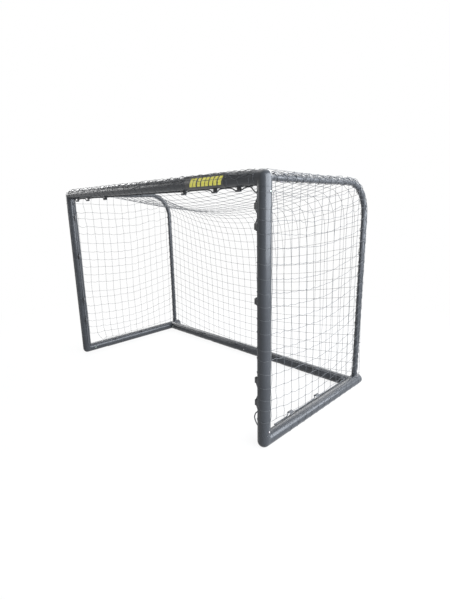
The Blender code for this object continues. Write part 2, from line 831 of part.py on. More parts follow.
def rope_run(start, end, hooks, outward, first, last):
    """Points along one tube, hugging it and rising to each hook on the way."""
    start, end, outward = Vector(start), Vector(end), Vector(outward).normalized()
    along = (end - start).normalized()
    stations = [(first, hug_rope_centre)]
    for hook in hooks:
        stations.append((hook - rope_rise_half, hug_rope_centre))
        stations.append((hook - hook_length / 2, hook_rope_centre))
        stations.append((hook + hook_length / 2, hook_rope_centre))
        stations.append((hook + rope_rise_half, hug_rope_centre))
    stations.append((last, hug_rope_centre))
    kept = [stations[0]]
    for station in stations[1:]:
        if station[0] - kept[-1][0] > hook_length / 3:
            kept.append(station)
    return [start + along * distance + outward * height for distance, height in kept]


def add_rope(name, points):
    curve = bpy.data.curves.new(name, "CURVE")
    curve.dimensions = "3D"
    curve.bevel_depth = rope_diameter / 2
    curve.bevel_resolution = 2
    curve.use_fill_caps = True
    spline = curve.splines.new("POLY")
    spline.points.add(len(points) - 1)
    for slot, point in zip(spline.points, points):
        slot.co = (*point, 1.0)
    piece = bpy.data.objects.new(name, curve)
    bpy.context.collection.objects.link(piece)
    curve.materials.append(net_cord)


def rounded_corner(before, after):
    """One point that eases the turn between two runs."""
    return (before + after) / 2


def add_mouth_rope():
    """The net's front rope: up the left post, along the crossbar, down the right post."""
    turn = main_radius + rope_rise_half
    low, high = rope_end_height, bar_z - turn
    left = rope_run((-post_x, front_y, 0), (-post_x, front_y, 1), left_post_hooks, (1, 0, 0), low, high)
    hooks = [x + post_x for x in crossbar_hooks]
    top = rope_run((-post_x, front_y, bar_z), (post_x, front_y, bar_z), hooks, (0, 0, -1),
                   turn, 2 * post_x - turn)
    right = rope_run((post_x, front_y, 0), (post_x, front_y, 1), right_post_hooks, (-1, 0, 0),
                     loop_high, high)
    loop = []
    for share in (0.75, 0.5, 0.25):
        height = loop_low + (loop_high - loop_low) * share
        bulge = loop_bulge * math.sin(share * math.pi)
        loop.append(Vector((post_x - hug_rope_centre - bulge, front_y, height)))
    foot = [Vector((post_x - hug_rope_centre, front_y, loop_low)),
            Vector((post_x - hug_rope_centre, front_y, rope_end_height))]
    points = left + [rounded_corner(left[-1], top[0])] + top + [rounded_corner(top[-1], right[-1])]
    add_rope("mouth_rope", points + right[::-1] + loop + foot)


def add_ground_rope():
    """The net's lower rope: along both side rails and the rear bar, inside and above."""
    slant = math.sqrt(0.5)
    last = rear_bar_y - front_y - hug_rope_centre - rope_rise_half / 2
    runs = []
    for side in (-1, 1):
        near = (side * post_x, front_y, ground_z)
        far = (side * post_x, rear_bar_y, ground_z)
        runs.append(rope_run(near, far, side_rail_hooks, (-side * slant, 0, slant), ground_rope_start, last))
    hooks = [x + post_x for x in rear_bar_hooks]
    first = hug_rope_centre + rope_rise_half / 2
    ends = (-post_x, rear_bar_y, ground_z), (post_x, rear_bar_y, ground_z)
    rear = rope_run(*ends, hooks, (0, -slant, slant), first, 2 * post_x - first)
    points = runs[0] + [rounded_corner(runs[0][-1], rear[0])] + rear
    points += [rounded_corner(rear[-1], runs[1][-1])] + runs[1][::-1]
    add_rope("ground_rope", points)


paired_spots = ("post_top", "post_foot", "rail_front", "rear_bar", "top_tube")
button_names = [f"button_{spot}_{word}" for spot in paired_spots for word in ("left", "right")]
button_names += ["button_crossbar_middle", "button_rear_bar_middle"]

clear_scene()
steel_paint = paint("anthracite_paint", (0.085, 0.092, 0.100), 0.38, 0.15)
steel = paint("zinc_steel", (0.45, 0.46, 0.47), 0.35, 0.9)
black_plastic = paint("black_plastic", (0.030, 0.031, 0.033), 0.5, 0.0)
net_cord = paint("net_cord", (0.035, 0.037, 0.040), 0.8, 0.0)
label_paint = paint("yellow_label", (0.62, 0.58, 0.09), 0.45, 0.0)

add_posts()
add_crossbar()
add_corners()
add_side_rails()
add_rail_caps()
add_rear_bar()
add_bent_tubes()
add_label()
add_buttons()
add_hooks()
add_roof_net()
add_back_net()
add_side_nets()
add_mouth_rope()
add_ground_rope()
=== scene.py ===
import math

import bmesh
import bpy
import numpy as np
from bmesh.types import BMEdge, BMFace, BMVert
from mathutils import Matrix, Vector


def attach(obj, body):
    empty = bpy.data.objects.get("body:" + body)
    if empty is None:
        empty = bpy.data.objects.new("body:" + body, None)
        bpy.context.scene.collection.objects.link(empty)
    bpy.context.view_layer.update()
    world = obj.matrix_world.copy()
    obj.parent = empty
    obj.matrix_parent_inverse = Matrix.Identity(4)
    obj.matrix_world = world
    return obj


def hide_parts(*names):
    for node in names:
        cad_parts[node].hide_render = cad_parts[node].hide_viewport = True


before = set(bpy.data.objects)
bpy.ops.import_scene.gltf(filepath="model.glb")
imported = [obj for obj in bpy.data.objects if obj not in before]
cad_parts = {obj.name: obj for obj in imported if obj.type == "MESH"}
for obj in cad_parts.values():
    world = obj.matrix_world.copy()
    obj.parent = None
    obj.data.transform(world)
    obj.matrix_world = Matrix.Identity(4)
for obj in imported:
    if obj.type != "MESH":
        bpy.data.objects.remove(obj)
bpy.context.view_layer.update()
print("frame loaded:", len(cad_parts), "nodes")

# Sizes in metres: X along the crossbar, the mouth at -Y, the net towards +Y, the ground at Z 0
goal = {
    "width": 1.82, "height": 1.20, "depth": 0.92, "rearBarInset": 0.0763, "uprightInset": 0.0433,
    "nominalRadius": 0.030, "tubeRadius": 0.0298, "boreRadius": 0.0285, "thinRadius": 0.014, "thinBore": 0.0125,
    "bendRadius": 0.178, "seam": 0.0363, "gap": 0.0003, "chamfer": 0.0004, "holeRoom": 0.0075,
    "solidSides": 24, "thinSolidSides": 16, "tubeSides": 48, "thinSides": 32, "bendSteps": 28,
}
nominal, tubeRadius, thinRadius, bendRadius, gap = (
    goal[key] for key in ("nominalRadius", "tubeRadius", "thinRadius", "bendRadius", "gap"))
# the tubes' centre lines, with the solids resting on a flat of their sides
groundZ = nominal * math.cos(math.pi / goal["solidSides"])
barZ = goal["height"] - groundZ
frontY = groundZ - goal["depth"] / 2
railEndY = goal["depth"] / 2
rearBarY = railEndY - goal["rearBarInset"]
uprightY = railEndY - goal["uprightInset"]
postX = goal["width"] / 2 - groundZ
bendStartY = uprightY - bendRadius
bendCentreZ = barZ - bendRadius
sides = ((-1, "left"), (1, "right"))
rng = np.random.default_rng(11)


class Wire:
    # a node's output that can stand in sums
    def __init__(self, nodes, socket):
        self.nodes, self.socket = nodes, socket

    def worked(self, operation, first, second):
        return self.nodes.node("ShaderNodeMath", {"operation": operation}, {0: first, 1: second})

    def __add__(self, other): return self.worked("ADD", self, other)
    def __radd__(self, other): return self.worked("ADD", other, self)
    def __sub__(self, other): return self.worked("SUBTRACT", self, other)
    def __rsub__(self, other): return self.worked("SUBTRACT", other, self)
    def __mul__(self, other): return self.worked("MULTIPLY", self, other)
    def __rmul__(self, other): return self.worked("MULTIPLY", other, self)


class Nodes:
    # the nodes of a material or of the world
    def __init__(self, holder):
        holder.use_nodes = True
        self.tree = holder.node_tree

    def node(self, kind, settings=None, sockets=None, output=0):
        made = self.tree.nodes.new(kind)
        for key, value in (settings or {}).items():
            setattr(made, key, value)
        for key, value in (sockets or {}).items():
            self.feed(made.inputs[key], value)
        return Wire(self, made.outputs[output])

    def feed(self, socket, value):
        if isinstance(value, Wire):
            self.tree.links.new(value.socket, socket)
        else:
            socket.default_value = (*value, 1.0) if socket.type == "RGBA" else value

    def surface(self, output, share, lit, white):
        # shows the white shader as much as share says, and the lit one elsewhere
        both = self.node("ShaderNodeMixShader", {}, {0: share, 1: lit, 2: white})
        self.feed(self.tree.nodes[output].inputs["Surface"], both)

    def seenDirectly(self):
        # 1 where the camera, gloss or glass looks, 0 for the light that is thrown on the object
        camera, gloss, glass = (self.node("ShaderNodeLightPath", output=f"Is {kind} Ray")
                                for kind in ("Camera", "Glossy", "Transmission"))
        return camera.worked("MAXIMUM", camera.worked("MAXIMUM", camera, gloss), glass)


class Finish(Nodes):
    # a material and the few node calls that it needs
    def __init__(self, name, metallic=0.0):
        self.material = bpy.data.materials.new(name)
        super().__init__(self.material)
        self.shader = self.tree.nodes["Principled BSDF"]
        self.set("Metallic", metallic)

    def set(self, name, value):
        self.feed(self.shader.inputs[name], value)

    def place(self):
        return self.node("ShaderNodeTexCoord", output=3)

    def noise(self, scale, detail=2.0, roughness=0.5):
        return self.node("ShaderNodeTexNoise", {}, {"Vector": self.place(), "Scale": scale, "Detail": detail,
                                                    "Roughness": roughness})

    def between(self, value, low, high):
        # a smooth 0 to 1 step as value goes from low to high
        return self.node("ShaderNodeMapRange", {"interpolation_type": "SMOOTHSTEP"},
                         {"Value": value, "From Min": low, "From Max": high})

    def mix(self, factor, first, second):
        return self.node("ShaderNodeMix", {"data_type": "RGBA"}, {0: factor, 6: first, 7: second}, output=2)

    def bump(self, height, strength, distance):
        self.set("Normal", self.node("ShaderNodeBump", {},
                                     {"Height": height, "Strength": strength, "Distance": distance}))


paint = {"colour": (0.027, 0.029, 0.032), "worn": (0.050, 0.054, 0.059), "cloudy": 1.12, "wear": 0.35,
         "metallic": 0.03, "roughness": 0.27, "gloss": 0.18, "coat": 0.18, "coatRoughness": 0.10}


def makePaint():
    finish = Finish("anthracitePaint", paint["metallic"])
    cloud = finish.noise(9.0, 4.0)
    fine = finish.noise(420.0, 3.0, 0.6)
    scuff = finish.between(finish.noise(36.0, 6.0, 0.72), 0.60, 0.72)
    paler = [channel * paint["cloudy"] for channel in paint["colour"]]
    tone = finish.mix(finish.between(cloud, 0.35, 0.7), paint["colour"], paler)
    finish.set("Base Color", finish.mix(scuff * paint["wear"], tone, paint["worn"]))
    finish.set("Roughness", paint["roughness"] + 0.07 * cloud + 0.16 * scuff + 0.05 * fine)
    finish.set("Specular IOR Level", paint["gloss"])
    finish.set("Coat Roughness", paint["coatRoughness"])
    finish.set("Coat Weight", paint["coat"])
    finish.bump(finish.noise(900.0, 2.0, 0.6) + 0.5 * finish.noise(260.0), 0.10, 0.0004)
    return finish.material


zinc = {"colour": (0.27, 0.275, 0.28), "spangle": 160.0, "grain": 300.0, "metallic": 0.9, "roughness": 0.38}


def makeZinc():
    finish = Finish("dullZinc", zinc["metallic"])
    spangle = finish.node("ShaderNodeTexVoronoi", {}, {"Vector": finish.place(), "Scale": zinc["spangle"]}, output=1)
    grain = finish.noise(zinc["grain"], 3.0)
    finish.set("Base Color", finish.mix(0.20 * grain, zinc["colour"], spangle))
    finish.set("Roughness", zinc["roughness"] + 0.20 * grain)
    finish.bump(grain, 0.08, 0.0002)
    return finish.material


# tones, scale of the clouds, scale and softness of the grain and its share in the tone, roughness, bump
plastic = {"dark": (0.022, 0.023, 0.025), "light": (0.036, 0.037, 0.039), "clouds": 60.0, "grain": (1400.0, 0.6),
           "share": 0.0, "roughness": 0.44, "spread": 0.16, "bump": 0.18, "height": 0.0003}
cord = {"dark": (0.023, 0.024, 0.026), "light": (0.092, 0.095, 0.100), "clouds": 14.0, "grain": (2600.0, 0.7),
        "share": 0.6, "roughness": 0.62, "spread": 0.25, "bump": 0.5, "height": 0.0004}


def makeGrained(name, look):
    finish = Finish(name)
    grain = finish.noise(look["grain"][0], 2.0, look["grain"][1])
    tone = look["share"] * grain + (1 - look["share"]) * finish.noise(look["clouds"], 3.0)
    finish.set("Base Color", finish.mix(tone, look["dark"], look["light"]))
    finish.set("Roughness", look["roughness"] + look["spread"] * grain)
    finish.bump(grain, look["bump"], look["height"])
    return finish.material


label = {"length": 0.250, "inset": 0.323, "radius": 0.03005, "thickness": 0.0008, "topAngle": 101, "sweep": 152,
         "steps": 30, "yellow": (0.67, 0.61, 0.08), "black": (0.022, 0.022, 0.020), "slant": 0.45, "soft": 0.04,
         "bars": 8, "barStart": (0.04, 0.10), "barEnd": (0.70, 0.24),
         "printStart": -0.092, "printEnd": 0.1195, "printHalf": 0.0185}


def makeLabelFilm():
    # slanted yellow bars of uneven width on black
    finish = Finish("labelFilm")
    centre = (postX - label["inset"], frontY, barZ)
    place = finish.node("ShaderNodeVectorMath", {"operation": "SUBTRACT"}, {0: finish.place(), 1: centre})
    along, up = (finish.node("ShaderNodeSeparateXYZ", {}, {0: place}, axis) for axis in (0, 2))
    start, end, half, soft = label["printStart"], label["printEnd"], label["printHalf"], label["soft"]
    leaning = along - label["slant"] * up
    bar = (leaning - start) * (label["bars"] / (end - start))
    number = finish.node("ShaderNodeMath", {"operation": "FLOOR"}, {0: bar})
    phase = bar - number
    uneven = finish.node("ShaderNodeTexWhiteNoise", {"noise_dimensions": "1D"}, {"W": number + 3.0})
    left, right = (least + spread * uneven for least, spread in (label["barStart"], label["barEnd"]))
    slant = finish.between(phase, left, left + soft) * (1.0 - finish.between(phase, right, right + soft))
    height = finish.node("ShaderNodeMath", {"operation": "ABSOLUTE"}, {0: up})
    inside = finish.between(leaning, start, start + 0.001) * (1.0 - finish.between(leaning, end - 0.001, end))
    inside = inside * (1.0 - finish.between(height, half - 0.0008, half))
    wear = finish.between(finish.noise(90.0, 5.0, 0.7), 0.30, 0.42)
    finish.set("Base Color", finish.mix(slant * inside * wear, label["black"], label["yellow"]))
    finish.set("Roughness", 0.34 + 0.12 * finish.noise(200.0))
    return finish.material


finishes = {
    "anthracite_paint": makePaint(),
    "zinc_steel": makeZinc(),
    "black_plastic": makeGrained("blackPlastic", plastic),
    "net_cord": makeGrained("netCord", cord),
    "yellow_label": makeLabelFilm(),
}
print("finishes made")


def clamped(value):
    return min(max(value, 0.0), 1.0)


def onCircle(first, second, radius, turn):
    return first + radius * math.cos(turn), second + radius * math.sin(turn)


def arc(x, z, across, up, angles):
    # points of an outline round (x, z)
    return [(x + across * math.cos(math.radians(turn)), z + up * math.sin(math.radians(turn))) for turn in angles]


def stoodOn(point, outward, along):
    # moves to a point, with Z turned outward and X along
    zAxis, xAxis = Vector(outward).normalized(), Vector(along).normalized()
    return Matrix.Translation(point) @ Matrix((xAxis, zAxis.cross(xAxis), zAxis)).transposed().to_4x4()


def placed(point, direction=(0, 0, 1)):
    # moves to a point, with Z turned to a direction
    along = Vector(direction).normalized()
    across = Vector((1, 0, 0)) if abs(along.z) > 0.9 else Vector((0, 0, 1))
    return stoodOn(point, along, across - along * across.dot(along))


def picked(geometry, kind):
    return [item for item in geometry if isinstance(item, kind)]


def spun(shape, geometry, axis, angle, steps, centre=(0, 0, 0), merge=False):
    return bmesh.ops.spin(shape, geom=geometry, cent=centre, axis=axis, dvec=(0, 0, 0), angle=angle, steps=steps,
                          use_merge=merge)["geom_last"]


def pushed(shape, faces, offset, keep=False):
    # extrudes faces; the old ones stay only where they close the shape
    raised = bmesh.ops.extrude_face_region(shape, geom=faces)["geom"]
    bmesh.ops.translate(shape, verts=picked(raised, BMVert), vec=offset)
    if not keep:
        bmesh.ops.delete(shape, geom=faces, context="FACES_KEEP_BOUNDARY")
    return picked(raised, BMFace)


def cleaned(shape, reach=0.000001):
    # merges points closer than reach and turns the faces outward
    bmesh.ops.remove_doubles(shape, verts=shape.verts, dist=reach)
    bmesh.ops.recalc_face_normals(shape, faces=shape.faces)
    return shape


def turned(outline, count, closed=True, place=None):
    # spins an outline of (radius, height) points round Z
    shape = bmesh.new()
    points = [shape.verts.new((radius, 0, height)) for radius, height in outline]
    edges = [shape.edges.new(pair) for pair in zip(points, points[1:])]
    if closed:
        edges.append(shape.edges.new((points[-1], points[0])))
    spun(shape, points + edges, (0, 0, 1), math.tau, count, merge=True)
    cleaned(shape)
    if place:
        shape.transform(place)
    return shape


def rod(radius, low, high, count, place=None):
    return turned([(0, low), (radius, low), (radius, high), (0, high)], count, False, place)


def extruded(outline, width):
    # an outline in X and Z, given its width across Y
    shape = bmesh.new()
    face = shape.faces.new([shape.verts.new((x, -width / 2, z)) for x, z in outline])
    pushed(shape, [face], (0, width, 0), keep=True)
    return cleaned(shape)


def joined(*shapes):
    whole = bmesh.new()
    for shape in shapes:
        carrier = bpy.data.meshes.new("carrier")
        shape.to_mesh(carrier)
        shape.free()
        whole.from_mesh(carrier)
        bpy.data.meshes.remove(carrier)
    return whole


def linked(name, data):
    made = bpy.data.objects.new(name, data)
    bpy.context.scene.collection.objects.link(made)
    return made


def newObject(name, shape):
    # points and faces go in by their place, since merging leaves them in an order that differs from run to run
    points = sorted(shape.verts, key=lambda vert: vert.co[:])
    numbers = {vert: number for number, vert in enumerate(points)}
    faces = []
    for face in shape.faces:
        corners = [numbers[vert] for vert in face.verts]
        first = corners.index(min(corners))
        faces.append(corners[first:] + corners[:first])
    mesh = bpy.data.meshes.new(name)
    mesh.from_pydata([vert.co for vert in points], [], sorted(faces))
    shape.free()
    return linked(name, mesh)


def applied(piece, reach):
    # the shape that an object shows, with points closer than reach merged
    mesh = bpy.data.meshes.new_from_object(piece.evaluated_get(bpy.context.evaluated_depsgraph_get()))
    shape = bmesh.new()
    shape.from_mesh(mesh)
    bpy.data.meshes.remove(mesh)
    bmesh.ops.remove_doubles(shape, verts=shape.verts, dist=reach)
    return shape


def carved(shape, tool, operation="DIFFERENCE"):
    # one Boolean step, applied
    piece, helper = newObject("blank", shape), newObject("tool", tool)
    step = piece.modifiers.new("cut", "BOOLEAN")
    step.operation, step.solver, step.object = operation, "EXACT", helper
    result = applied(piece, 0.000002)
    for item in (piece, helper):
        data = item.data
        bpy.data.objects.remove(item)
        bpy.data.meshes.remove(data)
    return result


def addPiece(name, shape, slot, node=None, body="frame", angle=32):
    piece = newObject(name, shape)
    piece.data.materials.append(finishes[slot])
    piece.data.shade_smooth()
    piece.data.set_sharp_from_angle(angle=math.radians(angle))
    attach(piece, body)
    if node:
        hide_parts(node)


def dress(node, ending, shape, slot="anthracite_paint", body="frame"):
    # a piece in place of a solid
    addPiece(node + "_" + ending, shape, slot, node, body)


spigot = {"radius": 0.0282, "bore": 0.0264, "length": 0.060, "round": 0.0006, "root": 0.024}
stub = {"reach": 0.089, "radius": 0.0122, "bore": 0.0107, "length": 0.045, "weld": 0.0045, "root": 0.0235}
button = {"setback": 0.018, "radius": 0.0045, "proud": 0.0035, "dome": 0.62, "flange": 0.0020, "flangeHeight": 0.0012,
          "leaf": 0.030, "leafThickness": 0.0008, "leafWidth": 1.7, "sides": 24, "clearance": 0.0003, "drill": 0.045,
          "bore": spigot["bore"], "outer": nominal}
thinButton = {**button, "setback": 0.016, "radius": 0.0030, "proud": 0.0025, "leaf": 0.020, "drill": 0.022,
              "bore": stub["bore"], "outer": thinRadius}
# the leaf's bends, as shares of its length and of the spigot's bore
leafBends = ((0, 0), (0.3, 0.05), (0.62, 0.15), (0.9, 0.30), (1, 0.42), (0.94, 0.60), (0.72, 0.84), (0.36, 0.9),
             (0, 0.9))
tubeStart = frontY + stub["reach"] + gap
buttonReach, besideMiddle = goal["seam"] + button["setback"], gap + button["setback"] * 2
# on the right side: the point on the centre line, the pin's way out and the leaf's direction
buttonStances = {
    "post_top": ((postX, frontY, barZ - buttonReach), (1, 0, 0), (0, 0, 1)),
    "post_foot": ((postX, frontY, groundZ + buttonReach), (1, 0, 0), (0, 0, -1)),
    "rail_front": ((postX, frontY + buttonReach, groundZ), (-1, 0, 0), (0, -1, 0)),
    "rear_bar": ((postX - nominal - gap - button["setback"], rearBarY, groundZ), (0, -1, 0), (-1, 0, 0)),
    "top_tube": ((postX, tubeStart + thinButton["setback"], barZ), (0, 0, -1), (0, -1, 0)),
    "crossbar_middle": ((besideMiddle, frontY, barZ), (0, 1, 0), (-1, 0, 0)),
    "rear_bar_middle": ((besideMiddle, rearBarY, groundZ), (0, -1, 0), (-1, 0, 0)),
}


def buttonSize(name):
    return thinButton if "top_tube" in name else button


def buttonStance(name):
    side = -1 if name.endswith("left") else 1
    stance = buttonStances[name.replace("button_", "").replace("_left", "").replace("_right", "")]
    return [(side * x, y, z) for x, y, z in stance]


def drilled(shape, *names):
    # holes for the named buttons
    tools = []
    for name in names:
        size = buttonSize(name)
        tools.append(rod(size["radius"] + size["clearance"], 0.006, size["drill"], size["sides"],
                         stoodOn(*buttonStance(name))))
    return carved(shape, joined(*tools)) if tools else shape


def unit(vectors):
    return vectors / np.linalg.norm(vectors, axis=-1, keepdims=True)


def ribbon(path, thickness, width):
    # a strip along a path in X and Z
    points = np.array(path)
    runs = unit(np.vstack([points[1:], points[-1:]]) - np.vstack([points[:1], points[:-1]]))
    out = np.stack([-runs[:, 1], runs[:, 0]], axis=1) * thickness / 2
    return extruded([*(points + out), *(points - out)[::-1]], width)


def addButtons():
    for name in sorted(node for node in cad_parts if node.startswith("button_")):
        size = buttonSize(name)
        radius, bore, crown = size["radius"], size["bore"], size["outer"] + size["proud"]
        flange, dome = radius + size["flange"], radius * size["dome"]
        top = math.sqrt(bore ** 2 - flange ** 2) * math.cos(math.pi / goal["thinSolidSides"]) - gap
        foot = top - size["flangeHeight"]
        outline = [(0, foot), (flange - 0.0003, foot), (flange, foot + 0.0003), (flange, top - 0.0002),
                   (flange - 0.0002, top), (radius, top), *arc(0, crown - dome, radius, dome, (0, 18, 36, 54, 72)),
                   (0, crown)]
        pin = turned(outline, size["sides"], False)
        start = foot + size["leafThickness"] / 2
        bends = [(-flange, start)] + [(size["leaf"] * out, start - bore * down) for out, down in leafBends]
        shape = joined(pin, ribbon(bends, size["leafThickness"], radius * size["leafWidth"]))
        shape.transform(stoodOn(*buttonStance(name)))
        dress(name, "pin", shape, "zinc_steel", name)


def tubeShape(start, end, *holes):
    # a round tube with softened ends and a ring of cuts either side of each hole
    start, end = Vector(start), Vector(end)
    run = end - start
    radius, bore, chamfer, length = tubeRadius, goal["boreRadius"], goal["chamfer"], run.length
    stations = [chamfer, length - chamfer]
    for name in holes:
        distance = (Vector(buttonStance(name)[0]) - start).dot(run.normalized())
        stations += [distance - goal["holeRoom"], distance + goal["holeRoom"]]
    stations = sorted(s for s in stations if chamfer <= s <= length - chamfer)
    outline = [(radius - chamfer, 0), *((radius, s) for s in stations), (radius - chamfer, length), (bore, length),
               *((bore, s) for s in reversed(stations[1:-1])), (bore, 0)]
    return drilled(turned(outline, goal["tubeSides"], place=placed(start, run)), *holes)


def addPosts():
    for side, word in sides:
        foot, head = ((side * postX, frontY, z) for z in (groundZ + goal["seam"], barZ - goal["seam"]))
        dress("post_" + word, "tube", tubeShape(foot, head, "post_foot_" + word, "post_top_" + word))


def addCrossbar():
    for side, word in sides:
        inner, outer = ((side * x, frontY, barZ) for x in (gap / 2, postX - goal["seam"]))
        dress("crossbar_" + word, "tube", tubeShape(inner, outer, *["crossbar_middle"] * (side > 0)))


collar = {"bore": 0.0143, "radius": 0.0167, "height": 0.025, "weld": 0.0032, "skirt": 0.003, "root": 0.0235,
          "round": 0.0006}


def addRearBar():
    for side, word in sides:
        inner, outer = ((side * x, rearBarY, groundZ) for x in (gap / 2, postX - 0.006))
        shape = tubeShape(inner, outer, "rear_bar_" + word, *["rear_bar_middle"] * (side > 0))
        # the end is cut to sit on the rail and clear of the collar's weld
        shape = carved(shape, rod(tubeRadius + gap, -0.06, 0.06, 64,
                                  placed((side * postX, rearBarY, groundZ), (0, 1, 0))))
        shape = carved(shape, rod(collar["radius"] + collar["weld"] * 0.7, 0, 0.06, 32,
                                  placed((side * postX, uprightY, groundZ))))
        dress("rear_bar_" + word, "tube", shape)


def addSideRails():
    bore, radius, weld, edge = collar["bore"], collar["radius"], collar["weld"], collar["round"]
    high, reach, soft = nominal + collar["height"], nominal + spigot["length"], spigot["round"]
    # the collar with its weld, and the spigot of the rear bar
    neck = [(bore, collar["root"]), (radius + weld + collar["skirt"], collar["root"]),
            (radius + weld + 0.001, nominal + 0.0002),
            *arc(radius + weld, nominal + 0.0002 + weld, weld, weld, (240, 210, 180)),
            (radius, high - edge), (radius - edge, high), (bore, high)]
    insert = [(spigot["bore"], spigot["root"]), (spigot["radius"], spigot["root"]), (spigot["radius"], reach - soft),
              (spigot["radius"] - soft, reach), (spigot["bore"], reach)]
    for side, word in sides:
        start, end = ((side * postX, y, groundZ) for y in (frontY + goal["seam"], railEndY - 0.0038))
        socket = placed((side * postX, uprightY, groundZ))
        shape = tubeShape(start, end, "rail_front_" + word)
        shape = carved(shape, rod(bore, 0, 0.05, goal["thinSides"], socket))
        shape = carved(shape, turned(neck, goal["thinSides"], place=socket), "UNION")
        arm = turned(insert, goal["tubeSides"], place=placed((side * postX, rearBarY, groundZ), (-side, 0, 0)))
        shape = drilled(carved(shape, arm, "UNION"), "rear_bar_" + word)
        dress("side_rail_" + word, "tube", shape)


cap = {"flange": 0.0035, "plug": 0.020, "wall": 0.0025, "soft": 0.0022, "dish": 0.0006}


def addRailCaps():
    radius, soft, top, plug = tubeRadius, cap["soft"], cap["flange"], spigot["radius"]
    outline = [(0, top - cap["dish"]), (radius * 0.55, top - cap["dish"]), (radius * 0.62, top),
               *arc(radius - soft, top - soft, soft, soft, (90, 68, 45, 22, 0)), (radius, 0), (plug, 0),
               (plug, -cap["plug"]), (plug - cap["wall"], -cap["plug"]), (plug - cap["wall"], -0.0005), (0, -0.0005)]
    for side, word in sides:
        place = placed((side * postX, railEndY - top, groundZ), (0, 1, 0))
        dress("rail_cap_" + word, "moulding", turned(outline, goal["tubeSides"], False, place), "black_plastic")


corner = {"leg": 0.036, "ballSteps": 12, "soft": 0.0005}


def ringEdges(ring):
    # in the order of the ring's points, each edge once
    return list(dict.fromkeys(edge for vert in ring for edge in vert.link_edges if edge.other_vert(vert) in ring))


def circle(shape, size, place, count=goal["tubeSides"]):
    return bmesh.ops.create_circle(shape, segments=count, radius=size, matrix=place)["verts"]


def elbow(first, second):
    # two mitred legs and a quarter ball outside, hollow, with a spigot on each leg
    first, second = Vector(first), Vector(second)
    binormal = first.cross(second)
    radius, bore, soft = tubeRadius, spigot["bore"], corner["soft"]
    leg, end = corner["leg"], corner["leg"] + spigot["length"]
    stations = [(radius, 0), (radius, leg - soft), (radius - soft, leg), (spigot["radius"], leg),
                (spigot["radius"], end - soft), (spigot["radius"] - soft, end), (bore, end), (bore, 0)]
    shape = bmesh.new()
    for along, other in ((first, second), (second, first)):
        ring = circle(shape, radius, stoodOn((0, 0, 0), along, -other))
        edges = ringEdges(ring)
        for index, (size, distance) in enumerate(stations):
            if index:
                made = bmesh.ops.extrude_edge_only(shape, edges=edges)["geom"]
                ring, edges = picked(made, BMVert), picked(made, BMEdge)
            for vert in ring:
                across = vert.co - along * vert.co.dot(along)
                mitre = max(across.dot(other), 0.0) * size / across.length if distance == 0 else 0.0
                vert.co = across.normalized() * size + along * (distance + mitre)
    for size in (radius, bore):
        made = circle(shape, size, stoodOn((0, 0, 0), binormal.cross(second), -second))
        outer = [vert for vert in made if vert.co.dot(second) <= 0.000001]
        bmesh.ops.delete(shape, geom=[vert for vert in made if vert not in outer], context="VERTS")
        spun(shape, outer + ringEdges(outer), binormal, -math.pi / 2, corner["ballSteps"])
    return cleaned(shape, 0.00001)


def addCorners():
    reach, end, thick = stub["reach"], stub["reach"] + stub["length"], thinRadius + stub["weld"]
    chamfer, weld = goal["chamfer"], stub["weld"]
    outline = [(stub["bore"], stub["root"]), (thick, stub["root"]),
               *arc(thick, nominal - 0.001 + weld, weld, weld, (270, 240, 210, 180)),
               (thinRadius, reach - chamfer), (thinRadius - chamfer, reach), (stub["radius"], reach),
               (stub["radius"], end), (stub["bore"], end)]
    for side, word in sides:
        centre = (side * postX, frontY, barZ)
        shape = elbow((-side, 0, 0), (0, 0, -1))
        shape.transform(placed(centre))
        shape = drilled(shape, "post_top_" + word)
        arm = turned(outline, goal["thinSides"], place=placed(centre, (0, 1, 0)))
        shape = drilled(carved(shape, arm, "UNION"), "top_tube_" + word)
        dress("top_corner_" + word, "fitting", shape)
        shape = elbow((0, 0, 1), (0, 1, 0))
        shape.transform(placed((side * postX, frontY, groundZ)))
        dress("front_corner_" + word, "fitting", drilled(shape, "post_foot_" + word, "rail_front_" + word))


def addBentTubes():
    # the thin tube: back from the corner's stub, round the bend, down into the collar to 1 mm from the rail's wall
    foot = groundZ - math.sqrt(goal["boreRadius"] ** 2 - thinRadius ** 2) + 0.0010
    hole, room = thinButton["setback"], 0.006
    for side, word in sides:
        shape = bmesh.new()
        place = placed((side * postX, tubeStart, barZ), (0, 1, 0))
        rings = [ringEdges(circle(shape, size, place, goal["thinSides"])) for size in (thinRadius, goal["thinBore"])]
        faces = bmesh.ops.bridge_loops(shape, edges=rings[0] + rings[1])["faces"]
        faces = pushed(shape, faces, (0, hole - room, 0), keep=True)
        for run in (2 * room, bendStartY - tubeStart - hole - room):
            faces = pushed(shape, faces, (0, run, 0))
        bent = spun(shape, faces, (1, 0, 0), -math.pi / 2, goal["bendSteps"], (side * postX, bendStartY, bendCentreZ))
        bmesh.ops.delete(shape, geom=faces, context="FACES_KEEP_BOUNDARY")
        pushed(shape, picked(bent, BMFace), (0, 0, foot - bendCentreZ))
        dress("bent_tube_" + word, "tube", drilled(cleaned(shape), "top_tube_" + word))


def addLabel():
    turn, half = math.radians(label["topAngle"]), label["length"] / 2
    low, high = label["radius"], label["radius"] + label["thickness"]
    shape = bmesh.new()
    face = shape.faces.new([shape.verts.new((x, *onCircle(0, 0, radius, turn))) for x, radius in
                            ((-half, low), (half, low), (half, high), (-half, high))])
    spun(shape, [face], (1, 0, 0), math.radians(label["sweep"]), label["steps"])
    shape.transform(placed((postX - label["inset"], frontY, barZ)))
    dress("crossbar_label", "film", cleaned(shape), "yellow_label")


hook = {"length": 0.026, "width": 0.0145, "wall": 0.0023, "height": 0.0200, "lip": 0.0070, "seat": 0.0299,
        "soft": 0.0006, "round": 0.0038, "innerRound": 0.0014, "studRadius": 0.0025}
diagonal = math.sqrt(0.5)
